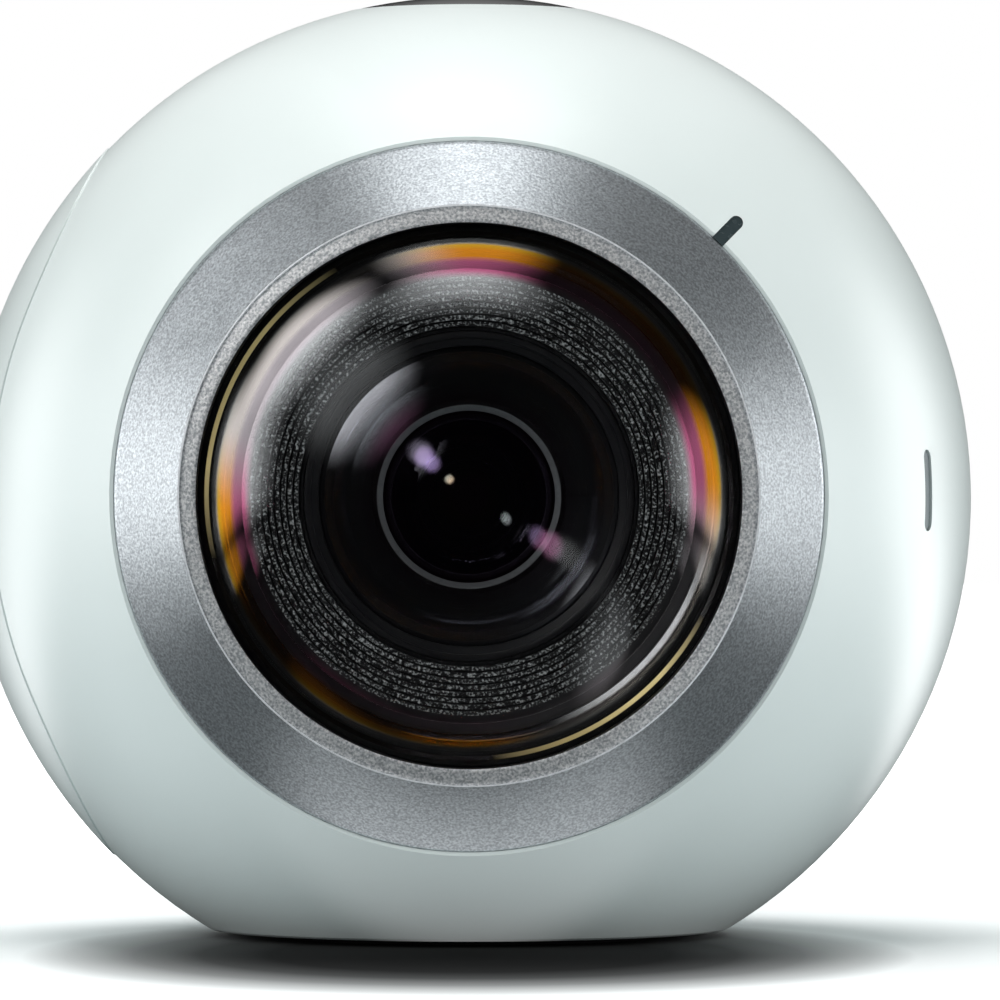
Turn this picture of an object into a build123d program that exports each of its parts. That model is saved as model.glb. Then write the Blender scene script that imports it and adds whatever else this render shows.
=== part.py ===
from build123d import *
import os
from math import cos, radians, sin, sqrt, tan

# A pocket camera that sees all round: a ball with a fisheye lens module on its front and its back.
# Millimetres. X runs across, the front lens looks along -Y, and Z is up from the surface it stands on.
# In the lens modules a depth is the distance from the middle of the ball towards the front.

# Overall form
ball_radius = 30.05
base_cut = 3.9
shell_wall = 1.8
foot_stand = 0.35
base_edge_round = 1.0
parting_gap = 0.1
seat_gap = 0.05
overrun = 5.0

# Lens module: radii, from the lenses outwards
third_radius = 5.1
cone_ledge = 0.5
second_radius = 8.55
second_seat_width = 0.75
glass_gap = 0.1
keeper_play = 0.05
keeper_wall = 0.45
keeper_lip = 0.4
barrel_wall = 1.05
barrel_gap = 0.1
barrel_flange_width = 1.8
skirt_offset = 1.9
skirt_wall = 1.0
recess_margin = 2.1
dome_seat_width = 1.7
dome_gap = 0.1
rim_width = 1.0
rim_gap = 0.1
trim_width = 3.75
trim_wall = 1.25
trim_gap = 0.1
flange_inset = 0.25

# Lens module: depths, from the edge of the trim outwards and inwards
trim_seat_drop = 1.8
trim_rise = 4.6
trim_edge_bevel = 0.3
lip_bevel = 0.22
rim_bevel = 0.22
rim_fall = 0.45
ledge_thickness = 1.2
ledge_gap = 0.2
dome_edge_sink = 0.74
dome_bulge = 7.288
dome_edge_height = 1.16
dome_wall = 1.3
seal_thickness = 0.3
seal_width = 0.8
recess_drop = 3.3
housing_flange_thickness = 1.2
housing_floor_thickness = 4.3
barrel_flange_thickness = 0.5
keeper_height = 0.5
keeper_step = 0.2
second_seat_drop = 0.9
second_edge = 1.3
second_front_radius = 15.0
second_back_radius = 12.5
cone_height = 2.5
third_seat_drop = 1.4
third_edge = 0.8
third_front_radius = 8.0
third_seat_width = 0.6
iris_drop = 2.9
iris_thickness = 0.3
iris_hole_radius = 1.1
iris_step_radius = 3.0
iris_step = 0.15
throat_radius = 3.2
throat_length = 1.4
rear_lens_radius = 4.3
rear_lens_edge = 1.2
rear_lens_bulge_radius = 7.0
sensor_size = 10.0
sensor_thickness = 1.2
sensor_gap = 0.4
sensor_window_size = 7.4
sensor_window_sink = 0.3
sensor_board_size = 17.0
sensor_board_thickness = 1.0
sensor_board_corner = 1.0

# Ribbed baffle between the dome and the second lens
baffle_gap = 0.05
baffle_rib_count = 8
baffle_rib_pitch = 0.36
baffle_rib_rise = 0.2
baffle_groove_share = 0.5
baffle_lip_height = 1.05
baffle_edge_sink = 0.25
baffle_thickness = 0.8

# Fixings of the lens modules
lens_screw_count = 4
lens_screw_head_radius = 0.9
lens_screw_head_height = 0.7
lens_screw_shank_radius = 0.5
lens_screw_length = 3.2
lens_screw_play = 0.05

# Status light windows beside the trim, up and to the right
window_width = 0.8
window_reach = 2.0
window_angle = 45.7
window_sink = 0.06
window_bury = 0.4

# Battery bay and the boards that it carries
battery_thickness = 7.0
battery_corner = 1.2
battery_play = 0.15
battery_play_up = 0.2
bay_wall = 0.65
bay_clearance = 1.346
bay_end_drop = 13.55
bay_end_wall = 0.8
contact_count = 4
contact_pitch = 2.5
contact_width = 1.2
contact_height = 4.0
contact_block_thickness = 0.35
contact_stroke = 0.15
lens_boss_radius = 1.3
lens_boss_inset = 1.2
lens_boss_height = 2.3
board_boss_radius = 1.1
board_boss_height = 0.7
board_boss_y = 3.0
board_boss_inset = 2.0
main_board_half_y = 10.0
main_board_clearance = 2.63
main_board_thickness = 1.0
shield_half_y = 7.0
shield_half_z = 7.5
shield_height = 2.0
shield_wall = 0.3
chip_half = 4.5
chip_height = 1.2

# Side opening, its frame and its cover, on the left as seen from the front
door_half_width = 11.0
door_end_margin = 7.85
door_drop = 0.2
door_draft = 8.0
door_gap = 0.1
door_proud = 0.07
door_skin = 1.55
frame_flange_margin = 1.5
frame_flange_thickness = 1.4
pocket_side_margin = 1.8
pocket_end_margin = 3.3
pocket_wall = 1.0
floor_drop = 9.65
floor_thickness = 1.2
door_seal_inset = 0.6
door_seal_width = 1.0
door_seal_thickness = 0.3
tongue_thickness = 0.8
tongue_width = 4.0
tongue_z = 6.0
tongue_reach = 2.4
tongue_play = 0.3

# Tether arm and the pin that the cover turns on
pin_drop = 1.316
pin_radius = 0.5
pin_play = 0.05
pin_overhang = 0.1
knuckle_radius = 1.0
knuckle_height = 1.75
knuckle_gap = 0.25
arm_thickness = 1.2
arm_half_height = 2.2
arm_eye_radius = 0.95
arm_stop_play = 0.2
arm_head_length = 1.0
arm_head_half_height = 3.0
arm_play = 0.12
guide_pad_thickness = 0.6
guide_pad_gap = 0.1
guide_pad_short = 1.3
cover_travel = 14.0

# Ports, memory card and battery latch on the floor of the side opening
usb_half_width = 1.3
usb_half_height = 3.75
usb_clearance = 0.35
usb_drop = 10.2
usb_length = 5.1
usb_wall = 0.35
usb_tongue_thickness = 0.5
usb_tongue_half_height = 2.6
usb_proud = 0.1
port_play = 0.1
card_thickness = 1.0
card_height = 11.0
card_length = 15.0
card_clearance = 0.15
card_lift = 10.1
card_proud = 0.5
card_corner = 1.4
card_play = 0.15
card_travel = 0.8
slot_wall = 0.3
latch_lift = 10.5
latch_half_height = 2.8
latch_bite = 0.7
latch_length = 3.3
latch_thickness = 0.95
latch_gap = 0.1
latch_foot_clearance = 0.45
latch_foot_thickness = 0.8
latch_foot_half_height = 1.4
latch_head_half_height = 2.2
latch_head_thickness = 0.6
latch_travel = 1.6
latch_ridge_count = 3
latch_ridge_pitch = 0.7
latch_ridge_height = 0.25

# Top panel, shutter button and the small display under the panel
panel_radius = 7.2
panel_gap = 0.06
panel_sink = 0.02
panel_thickness = 1.9
panel_ledge_width = 0.9
button_radius = 2.9
button_y = 2.9
button_gap = 0.08
button_proud = 0.08
button_dish_depth = 0.25
button_dish_radius = 12.0
button_travel = 0.4
button_flange_width = 0.5
button_flange_drop = 1.1
button_flange_thickness = 0.6
top_board_radius = 9.0
top_board_thickness = 0.8
switch_half = 1.6
switch_height = 0.9
plunger_radius = 0.8
plunger_height = 0.45
plunger_gap = 0.05
display_half_x = 4.0
display_half_y = 1.8
display_y = -2.9
display_frame = 0.5
top_post_radius = 1.2
top_post_inset = 1.3

# Two slim keys on the right side, one in each half
key_angle = 27.0
key_z = 0.4
key_width = 0.84
key_height = 4.6
key_gap = 0.08
key_sink = 0.12
key_travel = 0.3
key_flange_margin = 0.48
key_flange_drop = 0.4
key_flange_thickness = 0.6
key_switch_height = 0.9
key_board_thickness = 0.6
key_board_half_width = 2.0
key_board_half_height = 5.2
key_rib_width = 1.2
key_rib_half_depth = 1.5
key_switch_half = 1.3

# Base, foot and tripod socket
base_rim_width = 2.01
base_gap = 0.1
base_thickness = 2.45
base_flange_width = 1.6
foot_margin = 1.2
foot_width = 3.0
foot_thickness = 0.95
foot_edge_bevel = 0.2
socket_bore_radius = 2.6
socket_depth = 5.6
insert_wall = 1.3
insert_flange_width = 1.3
insert_flange_thickness = 0.8
insert_cap = 0.7
base_screw_head_radius = 1.0
base_screw_head_height = 0.6
base_screw_shank_radius = 0.6
base_screw_length = 3.6
base_screw_sink = 0.05
base_post_radius = 1.5

# Speaker, microphones and the inner lip that lines up the two halves
speaker_angle_down = 45.0
speaker_angle_side = 58.0
speaker_radius = 3.8
speaker_thickness = 2.4
speaker_hole_radius = 0.35
speaker_hole_pitch = 1.3
speaker_hole_rings = 6
microphone_x = 12.5
microphone_y = 4.5
microphone_radius = 1.3
microphone_height = 1.1
microphone_hole_radius = 0.4
lip_reach = 1.2
lip_root = 1.4
lip_wall = 0.85


def reach(radius, across):
    """How far a ball of this radius reaches where it is this far from its axis."""
    return sqrt(radius**2 - across**2)


# Places worked out from the sizes above: the ball and its base
inner_radius = ball_radius - shell_wall
ball_height = ball_radius - base_cut
base_level = foot_stand - ball_height
base_top_z = foot_stand + base_thickness
base_hole_radius = reach(ball_radius, base_level) - base_rim_width
foot_outer_radius = base_hole_radius - foot_margin
foot_inner_radius = foot_outer_radius - foot_width
base_screw_x = (foot_outer_radius + foot_inner_radius) / 2
insert_radius = socket_bore_radius + insert_wall

# The radii of the lens module
keeper_inner_radius = second_radius + keeper_play
keeper_step_radius = keeper_inner_radius + keeper_wall
keeper_outer_radius = keeper_step_radius + keeper_lip
barrel_radius = second_radius + glass_gap + barrel_wall
barrel_flange_radius = barrel_radius + barrel_flange_width
skirt_radius = barrel_radius + skirt_offset
housing_recess_radius = barrel_flange_radius + recess_margin
dome_edge_radius = housing_recess_radius + dome_seat_width
rim_inner_radius = dome_edge_radius + dome_gap
rim_outer_radius = rim_inner_radius + rim_width
trim_inner_radius = rim_outer_radius + rim_gap
trim_outer_radius = trim_inner_radius + trim_width
trim_foot_radius = trim_outer_radius - trim_wall
aperture_radius = trim_outer_radius + trim_gap

# The depths of the lens module
edge_depth = reach(ball_radius, trim_outer_radius)
ledge_top_depth = edge_depth - trim_seat_drop
ledge_under_depth = ledge_top_depth - ledge_thickness
rim_top_depth = edge_depth + trim_rise
dome_edge_depth = rim_top_depth - dome_edge_sink
dome_apex_depth = dome_edge_depth + dome_bulge
dome_radius = (dome_bulge**2 + dome_edge_radius**2) / (2 * dome_bulge)
dome_centre_depth = dome_apex_depth - dome_radius
dome_seat_depth = dome_edge_depth - dome_edge_height
housing_top_depth = dome_seat_depth - seal_thickness
housing_floor_depth = housing_top_depth - recess_drop
second_seat_depth = housing_floor_depth - second_seat_drop
cone_bottom_depth = second_seat_depth - cone_height
third_seat_depth = cone_bottom_depth - third_seat_drop
iris_seat_depth = third_seat_depth - iris_drop

# The battery bay, the boards and the sensor
bay_half_y = battery_thickness / 2 + battery_play + bay_wall
sensor_board_depth = bay_half_y + lens_boss_height
skirt_end_depth = sensor_board_depth + sensor_board_thickness
barrel_end_depth = skirt_end_depth + sensor_thickness + sensor_gap
lens_boss_reach = sensor_board_size / 2 - lens_boss_inset
floor_x = floor_drop - ball_radius
floor_back_x = floor_x + floor_thickness
bay_half_z = sqrt((inner_radius - bay_clearance) ** 2 - floor_back_x**2 - bay_half_y**2)
bay_end_x = ball_radius - bay_end_drop
battery_height = 2 * (bay_half_z - bay_wall - battery_play_up)
battery_start_x = floor_back_x - floor_thickness / 2
battery_end_x = bay_end_x - bay_end_wall - contact_block_thickness - contact_stroke
main_board_x = bay_end_x + board_boss_height
main_board_face_x = main_board_x + main_board_thickness
main_board_half_z = sqrt((inner_radius - main_board_clearance) ** 2 - main_board_face_x**2 - main_board_half_y**2)

# The side opening and what is on its floor
door_half_height = ball_radius - door_end_margin
door_side_x = -reach(ball_radius, door_half_width)
pocket_half_width = door_half_width - pocket_side_margin
pocket_half_height = door_half_height - pocket_end_margin
cover_inner_radius = ball_radius + door_proud - door_skin
pin_y = bay_half_y + guide_pad_thickness + guide_pad_gap + arm_thickness / 2
pin_x = pin_drop - reach(cover_inner_radius, pin_y)
arm_end_x = floor_back_x + cover_travel + arm_stop_play + arm_head_length
guide_pad_end_x = floor_back_x + cover_travel - guide_pad_short
usb_y = bay_half_y + usb_clearance + port_play + usb_half_width
card_y = -(bay_half_y + card_clearance + slot_wall + card_play + card_thickness / 2)
latch_foot_y = bay_half_y + latch_foot_clearance
latch_tip_y = battery_thickness / 2 - latch_bite

# The top, the keys and the status windows
ball_top_z = ball_height + ball_radius
panel_under_z = ball_top_z - panel_thickness
panel_ledge_radius = panel_radius - panel_ledge_width
button_flange_top_z = panel_under_z - button_flange_drop
button_under_z = button_flange_top_z - button_flange_thickness
plunger_top_z = button_under_z - button_travel - plunger_gap
switch_top_z = plunger_top_z - plunger_height
top_board_top_z = switch_top_z - switch_height
top_board_under_z = top_board_top_z - top_board_thickness
top_post_x = top_board_radius - top_post_radius - top_post_inset
key_flange_outer = inner_radius - key_flange_drop
key_switch_top = key_flange_outer - key_flange_thickness - key_travel - plunger_gap
key_board_outer = key_switch_top - key_switch_height
window_back_depth = reach(inner_radius, aperture_radius + window_reach) - window_bury

section_plane = Plane(origin=(0, 0, ball_height), x_dir=(1, 0, 0), z_dir=(0, 0, -1))
lens_axis = Axis((0, 0, ball_height), (0, 1, 0))
middle = Pos(0, 0, ball_height)


def face_plane(depth):
    """A plane square to the lens axis: its x is X, its y is Z, and it faces the front."""
    return Plane(origin=(0, -depth, ball_height), x_dir=(1, 0, 0), z_dir=(0, -1, 0))


def side_plane(x):
    """A plane square to X: its x is Y, its y is Z, and it faces the right."""
    return Plane(origin=(x, 0, ball_height), x_dir=(0, 1, 0), z_dir=(1, 0, 0))


def turned(*lines):
    """A ring or lens on the lens axis, from its half section of radius against depth."""
    return revolve(section_plane * make_face(Curve() + list(lines)), lens_axis)


def ring(*corners):
    """A turned piece whose half section has straight sides."""
    return turned(Polyline(*corners, close=True))


def lens_ball(radius, centre_depth):
    """A ball on the lens axis, whose surface gives a glass its round face."""
    return Pos(0, -centre_depth, ball_height) * Sphere(radius)


def ball(radius):
    """A ball about the middle of the camera."""
    return middle * Sphere(radius)


def block(x_span, y_span, z_span):
    """A square block between two places on each axis, with heights from the middle of the ball."""
    spans = (x_span, y_span, z_span)
    centre = [(low + high) / 2 for low, high in spans]
    return middle * Pos(*centre) * Box(*[abs(high - low) for low, high in spans])


def rod(radius, low_z, high_z, x=0, y=0):
    """An upright round rod between two heights above the table."""
    return Pos(x, y, (low_z + high_z) / 2) * Cylinder(radius, high_z - low_z)


def depth_rod(radius, low_depth, high_depth, x=0, z=0):
    """A round rod along the lens axis between two depths."""
    return extrude(face_plane(low_depth) * Pos(x, z) * Circle(radius), high_depth - low_depth)


def stadium(half_width, half_height):
    """An upright oval with straight sides and round ends."""
    return Pos(0, -door_drop) * SlotOverall(2 * half_height, 2 * half_width, rotation=90)


def straight_oval(half_width, half_height, low_x, high_x):
    """The oval carried straight across between two places on X."""
    return extrude(side_plane(low_x) * stadium(half_width, half_height), high_x - low_x)


def drafted_oval(grow):
    """The oval of the side opening, wider towards the outside, that much larger all round."""
    slices = []
    for x in (floor_back_x, -ball_radius - overrun):
        spread = grow + (door_side_x - x) * tan(radians(door_draft))
        slices.append(side_plane(x) * stadium(door_half_width + spread, door_half_height + spread))
    return loft(slices, ruled=True)


def both_ends(shape):
    """The piece of the front module and its twin at the back."""
    return shape, mirror(shape, about=Plane.XZ)


# Lens module


def trim_ring():
    """The bead-blasted metal cone between the casing and the rim."""
    return ring(
        (trim_outer_radius, ledge_top_depth),
        (trim_outer_radius, edge_depth - trim_edge_bevel),
        (trim_outer_radius - trim_edge_bevel / 2, edge_depth + trim_edge_bevel / 2),
        (trim_inner_radius, rim_top_depth - rim_bevel),
        (trim_inner_radius, dome_seat_depth),
        (trim_foot_radius, edge_depth),
        (trim_foot_radius, ledge_top_depth),
    )


def lens_rim():
    """The narrow rim that holds the dome down on its seal, with a face that falls away outwards."""
    return ring(
        (rim_inner_radius, housing_top_depth),
        (rim_outer_radius, housing_top_depth),
        (rim_outer_radius, rim_top_depth - rim_fall),
        (rim_inner_radius + rim_bevel, rim_top_depth),
        (rim_inner_radius, rim_top_depth - rim_bevel),
    )


def dome_glass():
    """The big front lens: a hollow cap with an edge that stands on the seal."""
    blank = depth_rod(dome_edge_radius, dome_seat_depth, dome_apex_depth + overrun)
    cap = blank & lens_ball(dome_radius, dome_centre_depth)
    return cap - lens_ball(dome_radius - dome_wall, dome_centre_depth)


def dome_seal():
    """The flat gasket under the edge of the dome."""
    return ring(
        (dome_edge_radius - seal_width, housing_top_depth),
        (dome_edge_radius, housing_top_depth),
        (dome_edge_radius, dome_seat_depth),
        (dome_edge_radius - seal_width, dome_seat_depth),
    )


def lens_housing():
    """The cup that carries the whole module, with a skirt that stands on the sensor board."""
    flange_back = ledge_under_depth - housing_flange_thickness
    bore = barrel_radius + barrel_gap
    floor_back = housing_floor_depth - housing_floor_thickness
    cup = ring(
        (rim_outer_radius, housing_top_depth),
        (rim_outer_radius, ledge_under_depth),
        (trim_outer_radius - flange_inset, ledge_under_depth),
        (trim_outer_radius - flange_inset, flange_back),
        (skirt_radius, flange_back),
        (skirt_radius, skirt_end_depth),
        (skirt_radius - skirt_wall, skirt_end_depth),
        (skirt_radius - skirt_wall, floor_back),
        (bore, floor_back),
        (bore, housing_floor_depth),
        (housing_recess_radius, housing_floor_depth),
        (housing_recess_radius, housing_top_depth),
    )
    for x, z in lens_screw_places():
        end = ledge_top_depth - lens_screw_length
        cup -= depth_rod(lens_screw_shank_radius, end, ledge_top_depth, x, z)
    return cup


def lens_baffle():
    """The black funnel round the second lens, cut with fine rings that trap stray light."""
    inner = keeper_outer_radius + baffle_gap
    outer = housing_recess_radius - baffle_gap
    seat = housing_floor_depth + barrel_flange_thickness
    lip = housing_floor_depth + baffle_lip_height
    edge = housing_top_depth - baffle_edge_sink
    profile = [(inner, seat), (inner, lip)]
    for index in range(baffle_rib_count):
        start = inner + index * baffle_rib_pitch
        level = lip + index * baffle_rib_rise
        profile.append((start + baffle_rib_pitch * baffle_groove_share, level + baffle_rib_rise))
        profile.append((start + baffle_rib_pitch, level + baffle_rib_rise))
    profile.append((outer, edge))
    profile.append((outer, edge - baffle_thickness))
    profile.append((barrel_flange_radius, seat))
    return ring(*profile)


def lens_barrel():
    """The inner tube that seats the second, third and rear lenses and the iris plate."""
    top = housing_floor_depth + barrel_flange_thickness
    second_bore = second_radius + glass_gap
    third_bore = third_radius + glass_gap
    rear_bore = rear_lens_radius + glass_gap
    throat_back = iris_seat_depth - throat_length
    return ring(
        (second_bore, top),
        (barrel_flange_radius, top),
        (barrel_flange_radius, housing_floor_depth),
        (barrel_radius, housing_floor_depth),
        (barrel_radius, barrel_end_depth),
        (rear_bore, barrel_end_depth),
        (rear_bore, throat_back),
        (throat_radius, throat_back),
        (throat_radius, iris_seat_depth),
        (third_radius - third_seat_width, iris_seat_depth),
        (third_radius - third_seat_width, third_seat_depth),
        (third_bore, third_seat_depth),
        (third_bore, cone_bottom_depth),
        (third_radius + cone_ledge, cone_bottom_depth),
        (second_radius - second_seat_width, second_seat_depth),
        (second_bore, second_seat_depth),
    )


def second_element():
    """The second lens, round in front and hollow behind, standing on a narrow flat seat."""
    front_centre = second_seat_depth + second_edge - reach(second_front_radius, second_radius)
    hollow_edge = second_radius - second_seat_width
    back_centre = second_seat_depth - reach(second_back_radius, hollow_edge)
    blank = depth_rod(second_radius, second_seat_depth, second_seat_depth + second_front_radius)
    glass = blank & lens_ball(second_front_radius, front_centre)
    return glass - lens_ball(second_back_radius, back_centre)


def third_element():
    """The third lens, round in front and flat behind, at the bottom of the black cone."""
    centre = third_seat_depth + third_edge - reach(third_front_radius, third_radius)
    blank = depth_rod(third_radius, third_seat_depth, third_seat_depth + third_front_radius)
    return blank & lens_ball(third_front_radius, centre)


def retaining_ring():
    """The smooth black ring that keeps the second lens in the barrel."""
    seat = housing_floor_depth + barrel_flange_thickness
    return ring(
        (keeper_inner_radius, seat),
        (keeper_outer_radius, seat),
        (keeper_outer_radius, seat + keeper_height),
        (keeper_step_radius, seat + keeper_height),
        (keeper_step_radius, seat + keeper_height - keeper_step),
        (keeper_inner_radius, seat + keeper_height - keeper_step),
    )


def iris_plate():
    """The thin plate whose hole sets the aperture."""
    edge = third_radius - third_seat_width - seat_gap
    top = iris_seat_depth + iris_thickness
    return ring(
        (iris_hole_radius, iris_seat_depth),
        (edge, iris_seat_depth),
        (edge, top),
        (iris_step_radius, top),
        (iris_step_radius, top - iris_step),
        (iris_hole_radius, top - iris_step),
    )


def rear_element():
    """The last lens, flat against the back of the throat and round behind."""
    seat = iris_seat_depth - throat_length
    centre = seat - rear_lens_edge + reach(rear_lens_bulge_radius, rear_lens_radius)
    blank = depth_rod(rear_lens_radius, centre - rear_lens_bulge_radius - seat_gap, seat)
    return blank & lens_ball(rear_lens_bulge_radius, centre)


def image_sensor():
    """The sensor on its board, with the window sunk in its front."""
    body = extrude(face_plane(skirt_end_depth) * Rectangle(sensor_size, sensor_size), sensor_thickness)
    window = face_plane(skirt_end_depth + sensor_thickness - sensor_window_sink)
    return body - extrude(window * Rectangle(sensor_window_size, sensor_window_size), overrun)


def sensor_board():
    """The small square board behind the lens module."""
    outline = RectangleRounded(sensor_board_size, sensor_board_size, sensor_board_corner)
    return extrude(face_plane(sensor_board_depth) * outline, sensor_board_thickness)


def lens_screw_places():
    """Where the screws of a lens module stand, on the diagonals."""
    head_seat = (rim_outer_radius + trim_foot_radius) / 2
    for index in range(lens_screw_count):
        angle = radians(360 * (index + 1 / 2) / lens_screw_count)
        yield head_seat * cos(angle), head_seat * sin(angle)


def lens_screws():
    """The screws that hold a lens module to the casing, hidden under the trim."""
    screws = []
    for x, z in lens_screw_places():
        head_top = ledge_top_depth + lens_screw_head_height
        head = depth_rod(lens_screw_head_radius, ledge_top_depth, head_top, x, z)
        shank_end = ledge_top_depth - lens_screw_length
        screws.append(head + depth_rod(lens_screw_shank_radius, shank_end, ledge_top_depth, x, z))
    return screws


# Casing halves


def window_prism(low_depth, high_depth):
    """The slot of the status light window, along the lens axis and open towards the trim."""
    inner = aperture_radius - window_width
    outer = aperture_radius + window_reach
    slot = Rot(0, 0, window_angle) * Pos((inner + outer) / 2, 0) * SlotOverall(outer - inner, window_width)
    return extrude(face_plane(low_depth) * slot, high_depth - low_depth)


def status_window():
    """The dark light guide that shows the state of the camera."""
    guide = window_prism(window_back_depth, ball_radius) & ball(ball_radius - window_sink)
    return guide - depth_rod(aperture_radius, 0, ball_radius)


def key_plane(radius):
    """A plane square to the travel of the front key: its x runs round the ball, its y is Z."""
    angle = radians(key_angle)
    return Plane(
        origin=(radius * cos(angle), -radius * sin(angle), ball_height + key_z),
        x_dir=(sin(angle), cos(angle), 0),
        z_dir=(cos(angle), -sin(angle), 0),
    )


def key_slot(grow, low_radius, high_radius):
    """The upright oval of a side key, that much larger all round."""
    outline = SlotOverall(key_height + 2 * grow, key_width + 2 * grow, rotation=90)
    return extrude(key_plane(low_radius) * outline, high_radius - low_radius)


def side_key():
    """A slim key: an oval stem that fills its slot, on a wider foot inside the casing."""
    stem = key_slot(0, key_flange_outer - key_flange_thickness, ball_radius + overrun) & ball(ball_radius - key_sink)
    return stem + key_slot(key_flange_margin, key_flange_outer - key_flange_thickness, key_flange_outer)


def key_switch():
    """A key's small board with its switch."""
    board = extrude(
        key_plane(key_board_outer) * Rectangle(2 * key_board_half_width, 2 * key_board_half_height),
        -key_board_thickness,
    )
    body = Rectangle(2 * key_switch_half, 2 * key_switch_half)
    return board + extrude(key_plane(key_board_outer) * body, key_switch_height)


def key_ribs():
    """Two ribs inside the casing that the key's board stands on."""
    ribs = []
    for side in (-1, 1):
        place = side * (key_board_half_height - key_rib_width / 2)
        foot = key_plane(key_board_outer) * Pos(0, place) * Rectangle(2 * key_rib_half_depth, key_rib_width)
        ribs.append(extrude(foot, ball_radius - key_board_outer) & ball(inner_radius + shell_wall / 2))
    return ribs


def shell_blank():
    """The front half of the casing: a round wall with a ledge that carries the lens module."""
    ledge_inner = rim_outer_radius + ledge_gap
    half_gap = parting_gap / 2
    start = (reach(ball_radius, half_gap), half_gap)
    lip_radius = aperture_radius + lip_bevel
    lip = (lip_radius, reach(ball_radius, lip_radius))
    middle_radius = (lip_radius + ball_radius) / 2
    outside = ThreePointArc(start, (middle_radius, reach(ball_radius, middle_radius)), lip)
    inner_lip = (reach(inner_radius, ledge_under_depth), ledge_under_depth)
    middle_depth = (ledge_under_depth + half_gap) / 2
    inner_start = (reach(inner_radius, half_gap), half_gap)
    inside = ThreePointArc(inner_lip, (reach(inner_radius, middle_depth), middle_depth), inner_start)
    ledge = Polyline(
        lip,
        (aperture_radius, reach(ball_radius, aperture_radius) - lip_bevel),
        (aperture_radius, ledge_top_depth),
        (ledge_inner, ledge_top_depth),
        (ledge_inner, ledge_under_depth),
        inner_lip,
    )
    return turned(outside, ledge, inside, Line(inner_start, start))


def shell_openings(shell):
    """Cuts the base, the side opening, the top seat and the key slot into the front half."""
    wide = ball_radius + overrun
    shell -= block((-wide, wide), (-wide, wide), (-wide, base_level))
    base_edge = shell.edges().group_by(Axis.Z)[0].sort_by(SortBy.LENGTH)[-1]
    shell = fillet(base_edge, base_edge_round)
    shell -= rod(base_hole_radius, -overrun, base_top_z)
    shell -= drafted_oval(0)
    shell -= rod(panel_radius + panel_gap, panel_under_z, ball_top_z + overrun)
    shell -= rod(panel_ledge_radius, top_board_under_z, ball_top_z + overrun)
    shell -= key_slot(key_gap, key_board_outer, ball_radius + overrun)
    shell -= window_prism(window_back_depth, ball_radius)
    for x, z in lens_screw_places():
        shell -= depth_rod(lens_screw_shank_radius + lens_screw_play, 0, ledge_top_depth, x, z)
    for rib in key_ribs():
        shell += rib
    return shell


def alignment_lip():
    """A low inner rim on the rear half that slides into the front half."""
    outer = inner_radius - seat_gap
    root = inner_radius + shell_wall / 2
    band = ring(
        (outer - lip_wall, -lip_root),
        (root, -lip_root),
        (root, -parting_gap / 2),
        (outer, -parting_gap / 2),
        (outer, lip_reach),
        (outer - lip_wall, lip_reach),
    )
    band -= straight_oval(
        door_half_width + frame_flange_margin + seat_gap, ball_radius, -ball_radius - overrun, floor_back_x
    )
    band -= rod(top_board_radius + seat_gap, top_board_under_z, 2 * ball_radius)
    return band - rod(base_hole_radius + base_flange_width + seat_gap, -overrun, base_top_z + seat_gap)


def speaker_plane(radius):
    """A plane square to the speaker's direction, low on the right of the rear half."""
    side = radians(speaker_angle_side)
    down = radians(speaker_angle_down)
    outward = Vector(sin(side) * cos(down), cos(side), -sin(side) * sin(down))
    across = Vector(sin(down), 0, cos(down))
    return Plane(origin=Vector(0, 0, ball_height) + outward * radius, x_dir=across, z_dir=outward)


def speaker():
    """The round speaker behind its holes."""
    puck = extrude(speaker_plane(inner_radius - speaker_thickness) * Circle(speaker_radius), 2 * speaker_thickness)
    return puck & ball(inner_radius - seat_gap)


def speaker_holes():
    """One hole in the middle and a ring of holes round it."""
    holes = [Circle(speaker_hole_radius)]
    for index in range(speaker_hole_rings):
        angle = radians(360 * index / speaker_hole_rings)
        place = Pos(speaker_hole_pitch * cos(angle), speaker_hole_pitch * sin(angle))
        holes.append(place * Circle(speaker_hole_radius))
    return [extrude(speaker_plane(inner_radius) * hole, 2 * shell_wall, both=True) for hole in holes]


def microphone_plane(side, radius):
    """A plane square to a microphone's direction, near the top of the rear half."""
    place = Vector(side * microphone_x, microphone_y, 0)
    outward = Vector(place.X, place.Y, reach(ball_radius, place.length)).normalized()
    return Plane(origin=Vector(0, 0, ball_height) + outward * radius, z_dir=outward)


def microphone(side):
    """A small round microphone held to the inside of the casing."""
    can = extrude(
        microphone_plane(side, inner_radius - microphone_height) * Circle(microphone_radius), 2 * microphone_height
    )
    return can & ball(inner_radius - seat_gap)


def microphone_hole(side):
    """The pinhole in front of a microphone."""
    return extrude(
        microphone_plane(side, inner_radius) * Circle(microphone_hole_radius), 2 * shell_wall, both=True
    )


# Side opening: frame, cover, tether and ports


def arm_box(grow, low_x, high_x):
    """The section of the tether arm, that much larger all round."""
    half = arm_thickness / 2 + grow
    tall = arm_half_height + grow
    return block((low_x, high_x), (pin_y - half, pin_y + half), (-tall, tall))


def card_box(grow, low_x, high_x):
    """The section of the memory card, that much larger all round."""
    half = card_thickness / 2 + grow
    tall = card_height / 2 + grow
    return block((low_x, high_x), (card_y - half, card_y + half), (card_lift - tall, card_lift + tall))


def usb_box(grow, low_x, high_x):
    """The section of the charging port, that much larger all round."""
    half = usb_half_width + grow
    tall = usb_half_height + grow
    return block((low_x, high_x), (usb_y - half, usb_y + half), (-usb_drop - tall, -usb_drop + tall))


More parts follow.
